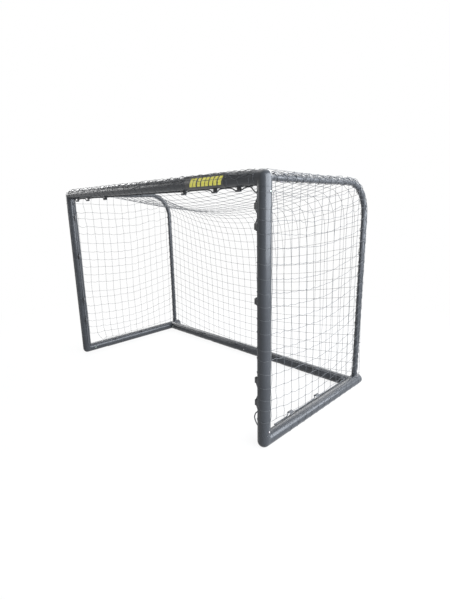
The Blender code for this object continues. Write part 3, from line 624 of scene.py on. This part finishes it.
# each tube with hooks: a point of its centre line, the way along, the hooks' way out, their places along
hookRuns = {
    "post_left": ((-postX, frontY, 0), (0, 0, 1), (1, 0, 0), (0.258, 0.418, 0.740, barZ - 0.157)),
    "rail_left": ((-postX, frontY, groundZ), (0, 1, 0), (diagonal, 0, diagonal), (0.240, 0.479)),
    "post_right": ((postX, frontY, 0), (0, 0, 1), (-1, 0, 0), (0.205, 0.313, 0.672, barZ - 0.188, barZ - 0.108)),
    "rail_right": ((postX, frontY, groundZ), (0, 1, 0), (-diagonal, 0, diagonal), (0.240, 0.479)),
    "crossbar": ((-postX, frontY, barZ), (1, 0, 0), (0, 0, -1),
                 (0.105, 0.260, 0.496, 2 * postX - 0.496, 2 * postX - 0.283, 2 * postX - 0.139)),
    "rear_bar": ((-postX, rearBarY, groundZ), (1, 0, 0), (0, -diagonal, diagonal),
                 (0.435, 0.820, 2 * postX - 0.550, 2 * postX - 0.240)),
}


def addHooks():
    seat, half, wall, bend, small = hook["seat"], hook["width"] / 2, hook["wall"], hook["round"], hook["innerRound"]
    footTop, crown = seat + wall, nominal + hook["height"]
    inner, innerCrown, lip = half - wall, crown - wall, crown - hook["lip"] - 0.001
    spread = math.degrees(math.asin(half / seat))
    outer = arc(half - bend, crown - bend, bend, bend, (0, 30, 60, 90))
    outline = [*arc(0, 0, seat, seat, [90 + spread * step / 4 for step in range(4, -5, -1)]),
               (half, footTop - 0.001), (half - 0.001, footTop), (-inner + 0.0012, footTop),
               (-inner, footTop + 0.0012), (-inner, innerCrown - small), (-inner + small, innerCrown),
               (inner - small, innerCrown), (inner, innerCrown - small), (inner, lip), (inner + 0.0008, lip - 0.0008),
               (half, lip), *outer, *((-x, z) for x, z in reversed(outer))]
    for run, (start, along, outward, places) in hookRuns.items():
        for number, place in enumerate(places, 1):
            shape = extruded(outline, hook["length"])
            # the rims of the two end faces
            rims = [edge for edge in shape.edges if len(edge.link_faces) == 2 and edge.calc_face_angle() > 1.2
                    and any(len(face.verts) > 4 for face in edge.link_faces)]
            bmesh.ops.bevel(shape, geom=rims, offset=hook["soft"], offset_type="OFFSET", segments=2, profile=0.5,
                            affect="EDGES", material=-1, clamp_overlap=True)
            shape.transform(Matrix.Rotation(math.pi / 2, 4, "Z"))
            shape = joined(shape, rod(hook["studRadius"], goal["boreRadius"] + gap, seat + wall / 2, 12))
            shape.transform(stoodOn(Vector(start) + Vector(along) * place, outward, along))
            dress(f"hook_{run}_{number}", "moulding", shape, "black_plastic")


addPosts()
addCrossbar()
addRearBar()
addSideRails()
addRailCaps()
addCorners()
addBentTubes()
addLabel()
addHooks()
addButtons()
for name in ("crossbar_joiner", "rear_bar_joiner"):
    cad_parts[name].data.materials.clear()
    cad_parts[name].data.materials.append(finishes["zinc_steel"])
print("frame dressed")


def smoothPath(points, cuts=2):
    # Catmull-Rom points through a path
    points = np.asarray(points, float)
    padded = np.vstack([2 * points[0] - points[1], points, 2 * points[-1] - points[-2]])
    first, second, third, fourth = padded[:-3], padded[1:-2], padded[2:-1], padded[3:]
    rows = [0.5 * (2 * second + (third - first) * t + (2 * first - 5 * second + 4 * third - fourth) * t * t
                   + (3 * second - first - 3 * third + fourth) * t ** 3) for t in np.arange(cuts) / cuts]
    return np.vstack([np.stack(rows, axis=1).reshape(-1, 3), points[-1]])


def evenPath(points, step):
    # the same path with points at even steps
    lengths = np.r_[0, np.cumsum(np.linalg.norm(np.diff(points, axis=0), axis=1))]
    stations = np.linspace(0, lengths[-1], max(2, int(round(lengths[-1] / step)) + 1))
    return np.stack([np.interp(stations, lengths, points[:, axis]) for axis in range(3)], axis=1)


def pathFrames(points):
    # two directions square to the path, carried along without twist
    runs = unit(np.gradient(points, axis=0))
    firsts = [unit(np.cross(runs[0], (0.31, 0.22, 0.93)))]
    for run in runs[1:]:
        firsts.append(unit(firsts[-1] - run * firsts[-1].dot(run)))
    firsts = np.array(firsts)
    return firsts, np.cross(runs, firsts)


def cordShape(paths, radius, rounds=1):
    # many cords as one shape
    curve = bpy.data.curves.new("cords", "CURVE")
    curve.dimensions = "3D"
    curve.bevel_depth, curve.bevel_resolution = radius, rounds
    curve.use_fill_caps = True
    for path in paths:
        spline = curve.splines.new("POLY")
        spline.points.add(len(path) - 1)
        flat = np.ones((len(path), 4))
        flat[:, :3] = path
        spline.points.foreach_set("co", flat.ravel())
    holder = linked("cords", curve)
    shape = applied(holder, 0.0000005)
    bpy.data.objects.remove(holder)
    bpy.data.curves.remove(curve)
    return shape


def addCords(name, shape, node=None):
    addPiece(name, shape, "net_cord", node, angle=60)


rope = {"diameter": 0.006, "hug": 0.0333, "inHook": 0.0444, "riseHalf": 0.042, "endHeight": 0.075,
        "loopLow": 0.086, "loopHigh": 0.168, "loopBulge": 0.022, "groundStart": 0.110, "pitch": 0.019, "steps": 8}
# shares of the diameter: the strands' distance from the middle, their radius and the whipping's
strandPlace, strandRadius, whippingRadius = (rope["diameter"] * share for share in (0.26, 0.25, 0.56))


def ropeRun(name, first, last):
    # along one tube, hugging it and rising to each hook
    start, along, outward, hooks = hookRuns[name]
    start, along, outward = Vector(start), Vector(along), Vector(outward).normalized()
    half, rise, hug, inHook = hook["length"] / 2, rope["riseHalf"], rope["hug"], rope["inHook"]
    stations = [(first, hug)]
    for place in hooks:
        stations += [(place - rise, hug), (place - half, inHook), (place + half, inHook), (place + rise, hug)]
    stations.append((last, hug))
    kept = [stations[0]]
    for station in stations[1:]:
        if station[0] - kept[-1][0] > hook["length"] / 3:
            kept.append(station)
    return [start + along * distance + outward * height for distance, height in kept]


def threeRuns(first, middle, last):
    # along three tubes, the last one backwards, with a point in each corner
    return first + [(first[-1] + middle[0]) / 2] + middle + [(middle[-1] + last[-1]) / 2] + last[::-1]


def mouthRoute():
    turn = nominal + rope["riseHalf"]
    low, high, x = rope["endHeight"], barZ - turn, postX - rope["hug"]
    route = threeRuns(ropeRun("post_left", low, high), ropeRun("crossbar", turn, 2 * postX - turn),
                      ropeRun("post_right", rope["loopHigh"], high))
    # the slack loop at the foot
    for share in (0.75, 0.5, 0.25, 0):
        height = rope["loopLow"] + (rope["loopHigh"] - rope["loopLow"]) * share
        route.append(Vector((x - rope["loopBulge"] * math.sin(share * math.pi), frontY, height)))
    return route + [Vector((x, frontY, low))]


def groundRoute():
    first = rope["hug"] + rope["riseHalf"] / 2
    left, right = (ropeRun("rail_" + word, rope["groundStart"], rearBarY - frontY - first) for side, word in sides)
    return threeRuns(left, ropeRun("rear_bar", first, 2 * postX - first), right)


def twisted(path):
    # three strands laid round a path
    line = evenPath(path, rope["pitch"] / rope["steps"])
    firsts, seconds = pathFrames(line)
    turns = np.arange(len(line)) * math.tau / rope["steps"]
    angles = [(turns + strand * math.tau / 3)[:, None] for strand in range(3)]
    return [line + strandPlace * (firsts * np.cos(angle) + seconds * np.sin(angle)) for angle in angles]


def addRopes():
    for name, route in (("mouth_rope", mouthRoute()), ("ground_rope", groundRoute())):
        path = smoothPath(route, 8)
        length = np.linalg.norm(np.diff(path, axis=0), axis=1).sum()
        ends = [[end + unit(end - inner) * reach for reach in (-0.006, -0.003, 0.0, 0.0035)]
                for end, inner in (path[:2], path[:-3:-1])]
        addCords(name + "_laid", cordShape(twisted(path), strandRadius), name)
        addCords(name + "_whipping", cordShape(ends, whippingRadius, 3))
        print(name, "is", round(float(length), 2), "m long")


addRopes()
print("ropes laid")

net = {"cordRadius": 0.00086, "knotRadius": 0.0023, "mesh": 0.058, "slackAcross": 1.001, "slackDown": 1.004,
       "columns": 30, "rounds": 500, "gravity": 0.00003, "jitter": 0.007, "uneven": 0.012, "shortest": 0.012,
       "postRoom": 0.034, "sag": 0.105, "lean": 0.045, "roofRest": 0.015, "footHeight": 0.088}
wrapRadius, thinWrap = tubeRadius + net["cordRadius"], thinRadius + net["cordRadius"]
# the sheet's way: half round the crossbar, the roof, the bend, down, and round the rear bar
frontRun, rearRun = math.pi * wrapRadius, 1.25 * math.pi * wrapRadius
roofRun, bendRun, dropRun = bendStartY - frontY, (bendRadius + thinWrap) * math.pi / 2, bendCentreZ - groundZ
sheetLength = frontRun + roofRun + bendRun + dropRun + rearRun


def sheetPath(run):
    # y and z that far along the way
    if run < frontRun:
        return onCircle(frontY, barZ, wrapRadius, -math.pi / 2 - run / wrapRadius)
    run -= frontRun
    if run < roofRun:
        return frontY + run, barZ + wrapRadius + (thinWrap - wrapRadius) * run / roofRun
    run -= roofRun
    if run < bendRun:
        bend = bendRadius + thinWrap
        return onCircle(bendStartY, bendCentreZ, bend, math.pi / 2 - run / bend)
    run -= bendRun
    if run < dropRun:
        return uprightY + thinWrap + (rearBarY + wrapRadius - uprightY - thinWrap) * run / dropRun, bendCentreZ - run
    return onCircle(rearBarY, groundZ, wrapRadius, -min(run - dropRun, rearRun) / wrapRadius)


def sheetPoint(x, run):
    # the same line with the roof's hang and the back's lean, both most in the middle
    y, z = sheetPath(run)
    spread = max(0.0, 1 - (x / (postX - thinRadius)) ** 2)
    run -= frontRun
    if run < roofRun:
        share = clamped((run - net["roofRest"]) / (roofRun - net["roofRest"]))
        return x, y, z - net["sag"] * spread * math.sin(share * math.pi / 2)
    share = clamped((run - roofRun) / bendRun)
    down = max(run - roofRun - bendRun, 0.0)
    pull = spread * clamped(1 - down / (bendCentreZ - net["footHeight"]))
    return x, y - net["lean"] * pull * math.sin(share * math.pi / 2), z - net["sag"] * pull * (1 - 0.55 * share)


class Web:
    # knots and mid points joined by cords that can slacken but not stretch
    def __init__(self):
        self.points, self.pinned, self.links, self.lines = [], [], [[], [], [], []], []

    def add(self, point, pinned):
        self.points.append(tuple(point))
        self.pinned.append(pinned)
        return len(self.points) - 1

    def line(self, name, knots, middle, slack, direction):
        # one cord through its knots, with a point between each pair
        whole = [knots[0]]
        for first, second in zip(knots, knots[1:]):
            both = self.pinned[first] and self.pinned[second]
            whole += [self.add(middle(first, second), both), second]
        for index, (first, second) in enumerate(zip(whole, whole[1:])):
            if not (self.pinned[first] and self.pinned[second]):
                length = max(math.dist(self.points[first], self.points[second]), net["shortest"]) * slack
                self.links[direction * 2 + index % 2].append((first, second, length))
        self.lines.append((name, whole))

    def settle(self, rounds):
        points = np.array(self.points, float)
        free = 1.0 - np.array(self.pinned, float)
        groups = []
        for group in self.links:
            first, second, rest = (np.array(column) for column in zip(*group))
            rest = rest * (1 + rng.uniform(-net["uneven"], net["uneven"], len(rest)))
            weight = free[first] + free[second]
            groups.append((first, second, rest, free[first] / weight, free[second] / weight))
        last = points.copy()
        for turn in range(rounds):
            # the web falls freely at first and comes to rest in the last part
            calm = max(0.0, turn / rounds - 0.4) / 0.6
            speed = (points - last) * (0.985 - 0.1 * calm)
            last = points.copy()
            points += speed * free[:, None]
            points[:, 2] -= net["gravity"] * free * (0.02 + 0.98 * (1 - calm) ** 3)
            for repeat in range(4):
                for first, second, rest, firstShare, secondShare in groups:
                    apart = points[second] - points[first]
                    reach = np.maximum(np.linalg.norm(apart, axis=1), 1e-9)
                    pull = apart * (np.maximum(reach - rest, 0) / reach)[:, None]
                    points[first] += pull * firstShare[:, None]
                    points[second] -= pull * secondShare[:, None]
            if turn % 5 == 0:
                points = np.where(free[:, None] > 0, clearOfTubes(points), points)
        self.points = points

    def addPieces(self, panels):
        # each panel's cords and knots as one piece
        for name, knots in panels.items():
            lines = [line for owner, line in self.lines if owner == name]
            shape = cordShape([clearOfTubes(smoothPath(self.points[line])) for line in lines], net["cordRadius"])
            centres = clearOfTubes(self.points[knots], net["knotRadius"] * 0.4)
            centres[:, 2] = np.maximum(centres[:, 2], net["knotRadius"] * 1.3)
            for centre in centres:
                turn = Matrix.Rotation(rng.uniform(0, math.tau), 4, Vector(rng.uniform(-1, 1, 3)).normalized())
                size = net["knotRadius"] * rng.uniform(0.85, 1.12)
                place = Matrix.Translation(centre) @ turn @ Matrix.Diagonal((1.15, 1, 0.8, 1))
                bmesh.ops.create_icosphere(shape, subdivisions=1, radius=size, matrix=place)
            addCords(name + "_cords", shape, name)


def clearOfTubes(points, room=0.0):
    # moves points out of the tubes and up from the ground
    points = points.copy()
    reach, thin = wrapRadius + room, thinWrap + room

    def push(mask, axes, centre, radius):
        offset = points[:, axes] - np.array(centre)
        distance = np.maximum(np.linalg.norm(offset, axis=1), 1e-9)
        inside = mask & (distance < radius)
        points[np.ix_(inside, axes)] = (np.array(centre) + offset * (radius / distance)[:, None])[inside]

    x, y, z = points.T
    for side in (-1, 1):
        push((z < barZ) & (z > groundZ), [0, 1], (side * postX, frontY), reach)
        push((y > frontY) & (y < railEndY), [0, 2], (side * postX, groundZ), reach)
        push((y < bendStartY) & (y > frontY + reach), [0, 2], (side * postX, barZ), thin)
        push((z < bendCentreZ) & (z > groundZ), [0, 1], (side * postX, uprightY), thin)
    push(np.abs(x) < postX, [1, 2], (frontY, barZ), reach)
    push(np.abs(x) < postX, [1, 2], (rearBarY, groundZ), reach)
    points[:, 2] = np.maximum(points[:, 2], net["cordRadius"] + room)
    return points


def addSheet():
    # roof and back in one web
    web = Web()
    rows, columns = int(round(sheetLength / net["mesh"])), net["columns"]
    step = sheetLength / rows
    frontRows, backRows, roofRows = frontRun / step, rows - rearRun / step, int(round((frontRun + roofRun) / step))
    runs, grid = {}, []
    for row in range(rows + 1):
        line = []
        for column in range(columns + 1):
            x, run = -postX + 2 * postX * column / columns, row * step
            fixed = row <= frontRows or row >= backRows or column in (0, columns)
            if fixed and 0 < column < columns:
                x += rng.uniform(-1, 1) * net["jitter"]
                run += rng.uniform(-1, 1) * net["jitter"] * (0 < row < rows)
            if row <= frontRows and column in (0, columns):
                x = math.copysign(postX - net["postRoom"], x)
            line.append(web.add(sheetPoint(x, run), fixed))
            runs[line[-1]] = (x, run)
        grid.append(line)

    def middle(first, second):
        return sheetPoint(*((one + other) / 2 for one, other in zip(runs[first], runs[second])))

    for row, line in enumerate(grid):
        web.line("net_top" if row <= roofRows else "net_back", line, middle, net["slackAcross"], 0)
    for column in range(columns + 1):
        whole = [line[column] for line in grid]
        web.line("net_top", whole[:roofRows + 1], middle, net["slackDown"], 1)
        web.line("net_back", whole[roofRows:], middle, net["slackDown"], 1)
    web.settle(net["rounds"])
    bend, back = (web.points[grid[row][columns // 2]] for row in (roofRows, (roofRows + rows) // 2))
    print("roof hangs", round(1000 * (barZ - bend[2])), "mm at the bend, the back is at y", round(1000 * back[1]),
          "of", round(1000 * uprightY))
    web.addPieces({"net_top": [knot for line in grid[:roofRows + 1] for knot in line],
                   "net_back": [knot for line in grid[roofRows + 1:] for knot in line]})


def bendReach(distance):
    # how far out the bend's line is, that distance to the side of its centre
    return math.sqrt(bendRadius ** 2 - min(max(distance, 0.0), bendRadius) ** 2)


def tubeTop(y):
    return bendCentreZ + bendReach(y - bendStartY)


def tubeBack(z):
    return bendStartY + bendReach(z - bendCentreZ)


sideNet = {"columns": 17, "step": 0.0590, "phase": 0.1454, "onPost": (0.034, 0.108), "start": 0.110,
           "rise": 0.032, "dip": 0.020, "deepDip": 0.014, "unrest": 0.006, "slack": 1.012, "tubeRoom": 0.012}
# the rows: three on the rail, one from its side, and the rings up the post as seen on the near one
railRows = 3
rowHeights = (None, None, groundZ - 0.0074, 0.0785, 0.139, 0.194, 0.244, 0.301, 0.364, 0.430, 0.476, 0.548, 0.606,
              0.664, 0.720, 0.778, 0.841, 0.905, 0.959, 1.013, 1.056, 1.116)


def addSideNet(side, word):
    web, name = Web(), "net_" + word
    rowLength = frontRun + uprightY - frontY
    columns, levels, room = sideNet["columns"], range(len(rowHeights)), sideNet["tubeRoom"]
    columnRuns = [0.0, *sideNet["onPost"], *(sideNet["phase"] + sideNet["step"] * index
                                             for index in range(columns - 3)), rowLength]
    facts, grid = {}, {}

    def rowPlace(run):
        # x from the post's centre and y, for a distance along a row from the rope
        if run < frontRun:
            return onCircle(0, frontY, wrapRadius, math.pi + run / wrapRadius)
        share = (run - frontRun) / (rowLength - frontRun)
        return wrapRadius + (thinWrap - wrapRadius) * max(0.0, share * 1.15 - 0.15), frontY + run - frontRun

    def place(run, level):
        x, y = rowPlace(run)
        if level < 2.2:
            x, z = onCircle(postX, groundZ, wrapRadius, math.radians(-225) + level * net["mesh"] / wrapRadius)
            return side * x, y, z
        low = min(int(level), len(rowHeights) - 2)
        height = rowHeights[low] + (rowHeights[low + 1] - rowHeights[low]) * (level - low)
        # rows rise in the rear half and dip between the tubes, and lie level at the rail
        share = max(0.0, (y - frontY) / (uprightY - frontY))
        ease = clamped((share - 0.45) / 0.55)
        dip = sideNet["dip"] + sideNet["deepDip"] * clamped((1.0 - height) / 0.2)
        lift = sideNet["rise"] * ease * ease * (3 - 2 * ease) - dip * math.sin(math.pi * min(share, 1.0))
        if run > frontRun:
            x += (wrapRadius - x) * clamped((0.45 - height) / 0.42)
        return side * (postX + x), y, height + lift * clamped((level - 2) / 3)

    for column, run in enumerate(columnRuns):
        y = rowPlace(run)[1]
        for level in levels:
            if y < frontY + sideNet["start"] and level < railRows + (run < frontRun + 0.05):
                continue
            x, y, z = point = place(run, level)
            # the last column ends where the bend starts, and the others stop short of the tube
            if column == columns:
                past = z > bendCentreZ
            else:
                past = level >= railRows and (z > tubeTop(y) - room or y > tubeBack(z) - room)
            if past:
                continue
            fixed = level < railRows or run <= frontRun + 0.001 or column == columns
            if not fixed:
                unrest = sideNet["unrest"] * (0.35 + 0.65 * clamped((z - 0.8) / 0.2))
                point = (x, *(value + rng.uniform(-1, 1) * unrest for value in (y, z)))
            knot = grid[column, level] = web.add(point, fixed)
            facts[knot] = (run, level)

    def middle(first, second):
        known = first in facts and second in facts
        source = facts if known else web.points
        values = [(one + other) / 2 for one, other in zip(source[first], source[second])]
        return place(*values) if known else values

    # the rows and then the columns, each tied to the bent tube where it stops short of the last column
    held = thinRadius * 0.8
    for level in levels:
        line = [grid[column, level] for column in range(columns + 1) if (column, level) in grid]
        x, y, z = web.points[line[-1]]
        if level >= railRows and y < uprightY - 0.01:
            line.append(web.add((side * (postX + held), tubeBack(z), z), True))
        if len(line) > 1:
            web.line(name, line, middle, sideNet["slack"], 0)
    for column in range(columns + 1):
        line = [grid[column, level] for level in levels if (column, level) in grid]
        if not line:
            continue
        x, y, z = web.points[line[-1]]
        if y > frontY + 0.03 and column < columns:
            line.append(web.add((side * (postX + held), y, tubeTop(y) + held * 0.6), True))
        if len(line) > 1:
            web.line(name, line, middle, net["slackDown"], 1)
    web.settle(net["rounds"] // 2)
    web.addPieces({name: sorted(facts)})


seam = {"cord": 0.0011, "topBulk": 0.0095, "sideBulk": 0.0020, "pitch": 0.058, "step": 0.0048, "start": 0.046,
        "end": 0.065, "angles": (-35, -5, 22, 48, 80), "sway": 24}
barBulk = {"angles": (2, 20, 36, 50, 63, 76), "sway": 10, "lift": 0.0045, "end": 0.034, "overLabel": 44,
           "besideLabel": 0.07}


def waves(stations, low, high):
    # a smooth irregular run between about -1 and 1
    total = np.zeros(len(stations))
    for repeat in range(4):
        total += np.sin(stations * math.tau / rng.uniform(low, high) + rng.uniform(0, math.tau))
    return total / 2.4


def addSeams():
    # where roof and back meet the side panels, their edge cords bunch on the thin tube and are laced round it
    bend = bendRadius * math.pi / 2
    stations = np.arange(seam["start"], roofRun + bend + dropRun - seam["end"], seam["step"])
    share = np.clip((stations - roofRun) / bend, 0, 1)
    turn, down = share * math.pi / 2, np.maximum(stations - roofRun - bend, 0)
    lineY = np.where(stations < roofRun, frontY + stations, bendStartY + bendRadius * np.sin(turn))
    lineZ = bendCentreZ + bendRadius * np.cos(turn) - down
    bulk = seam["topBulk"] + (seam["sideBulk"] - seam["topBulk"]) * share
    for side, word in sides:
        paths = []

        def lay(angle, reach):
            angle = np.radians(angle)
            reach = thinWrap + reach
            out = reach * np.cos(angle)
            paths.append(np.stack([side * (postX + reach * np.sin(angle)), lineY + out * np.sin(turn),
                                   lineZ + out * np.cos(turn)], axis=1))

        for base in seam["angles"]:
            lift = bulk * np.clip(0.45 + 0.55 * waves(stations, 0.035, 0.10), 0.02, 1)
            sway = seam["sway"] * waves(stations, 0.05, 0.13)
            lay(base + sway, seam["cord"] + lift * math.cos(math.radians(base)))
        lacing = 360 * stations / seam["pitch"]
        lay(lacing + 40 * waves(stations, 0.12, 0.3), seam["cord"] * 0.6 + 0.0008 * np.abs(waves(stations, 0.05, 0.1)))
        lay(-lacing * 0.83 + 70 * waves(stations, 0.15, 0.3), seam["cord"] * 0.6 + 0.0022)
        addCords("seam_" + word + "_cords", cordShape(paths, seam["cord"]))


def addBarCords():
    # the roof's gathered edge on the crossbar
    stations = np.arange(-postX + barBulk["end"], postX - barBulk["end"], seam["step"])
    away = np.abs(stations - (postX - label["inset"])) - label["length"] / 2
    beside = np.clip(1 - away / barBulk["besideLabel"], 0, 1)
    paths = []
    for base in barBulk["angles"]:
        raised = base + beside * max(0.0, barBulk["overLabel"] - 0.65 * base)
        angle = np.radians(180 - raised - barBulk["sway"] * waves(stations, 0.05, 0.12))
        reach = wrapRadius + seam["cord"] + barBulk["lift"] * np.clip(0.3 + 0.6 * waves(stations, 0.03, 0.09), 0, 1)
        paths.append(np.stack([stations, frontY + reach * np.cos(angle), barZ + reach * np.sin(angle)], axis=1))
    addCords("crossbar_edge_cords", cordShape(paths, seam["cord"] * 0.8))


addSheet()
for side, word in sides:
    addSideNet(side, word)
addSeams()
addBarCords()
print("net hung")

view = {"place": (1.8654, -1.6234, 1.0583), "yaw": 45.56, "pitch": 13.53, "roll": -1.29, "focal": 383.2,
        "pixels": 600, "sensor": 36}


def addCamera():
    yaw, pitch, roll = (math.radians(view[key]) for key in ("yaw", "pitch", "roll"))
    forward = Vector((-math.sin(yaw) * math.cos(pitch), math.cos(yaw) * math.cos(pitch), -math.sin(pitch)))
    right = Vector((math.cos(yaw), math.sin(yaw), 0))
    right = right * math.cos(roll) + right.cross(forward) * math.sin(roll)
    camera = linked("camera", bpy.data.cameras.new("camera"))
    camera.data.sensor_width = view["sensor"]
    camera.data.lens = view["focal"] * view["sensor"] / view["pixels"]
    camera.data.clip_end = 100
    camera.matrix_world = stoodOn(view["place"], -forward, right)
    bpy.context.scene.camera = camera


sky = {"colour": (0.93, 0.96, 1.0), "strength": 0.10}


def addWorld():
    world = bpy.data.worlds.new("studio")
    bpy.context.scene.world = world
    nodes = Nodes(world)
    soft = nodes.node("ShaderNodeBackground", {}, {"Color": sky["colour"], "Strength": sky["strength"]})
    white = nodes.node("ShaderNodeBackground", {}, {"Color": (1.0, 1.0, 1.0), "Strength": 1.0})
    nodes.surface("World Output", nodes.seenDirectly(), soft, white)


floorLook = {"colour": (0.55, 0.55, 0.55), "glow": 0.90, "fade": (1.2, 2.6), "size": 20.0}


def addFloor():
    shape = bmesh.new()
    bmesh.ops.create_grid(shape, x_segments=1, y_segments=1, size=floorLook["size"],
                          matrix=Matrix.Translation((0, 0, -0.0002)))
    floor = newObject("floor", shape)
    finish = Finish("paleFloor")
    finish.set("Roughness", 0.9)
    finish.set("Base Color", floorLook["colour"])
    reach = finish.node("ShaderNodeVectorMath", {"operation": "LENGTH"}, {0: finish.place()}, output=1)
    white = finish.node("ShaderNodeEmission", {}, {"Color": (1.0, 1.0, 1.0), "Strength": 1.0})
    far = finish.between(reach, *floorLook["fade"])
    share = finish.seenDirectly() * (floorLook["glow"] + (1 - floorLook["glow"]) * far)
    finish.surface("Material Output", share, Wire(finish, finish.shader.outputs[0]), white)
    floor.data.materials.append(finish.material)


# place, target, size in metres, power in watts, colour
lamps = {
    "wallRight": ((3.5, 1.0, 1.95), (0.0, 1.0, 1.6), (5.8, 3.0), 740, (0.87, 0.92, 1.0)),
    "rimLeft": ((-3.6, 1.0, 2.3), (0.0, -0.2, 1.0), (2.6, 1.5), 95, (1, 1, 1)),
    "bandLeft": ((-3.1, -1.5, 1.78), (0.0, -0.43, 1.17), (1.9, 1.15), 38, (1, 1, 1)),
    "wallBack": ((-0.2, 3.7, 2.6), (0.0, 0.0, 0.9), (5.2, 1.8), 160, (1, 1, 1)),
    "fillTop": ((-0.4, 0.4, 3.4), (0.0, 0.1, 0.4), (3.4, 3.0), 60, (1, 1, 1)),
}


def addLamps():
    for name, (place, target, size, power, colour) in lamps.items():
        lamp = bpy.data.lights.new(name, "AREA")
        lamp.shape, lamp.energy, lamp.color = "RECTANGLE", power, colour
        lamp.size, lamp.size_y = size
        turn = (Vector(target) - Vector(place)).to_track_quat("-Z", "Y").to_matrix().to_4x4()
        linked(name, lamp).matrix_world = Matrix.Translation(place) @ turn


addCamera()
addWorld()
addFloor()
addLamps()
print("camera and light set")

bpy.context.scene.view_settings.view_transform = "Standard"
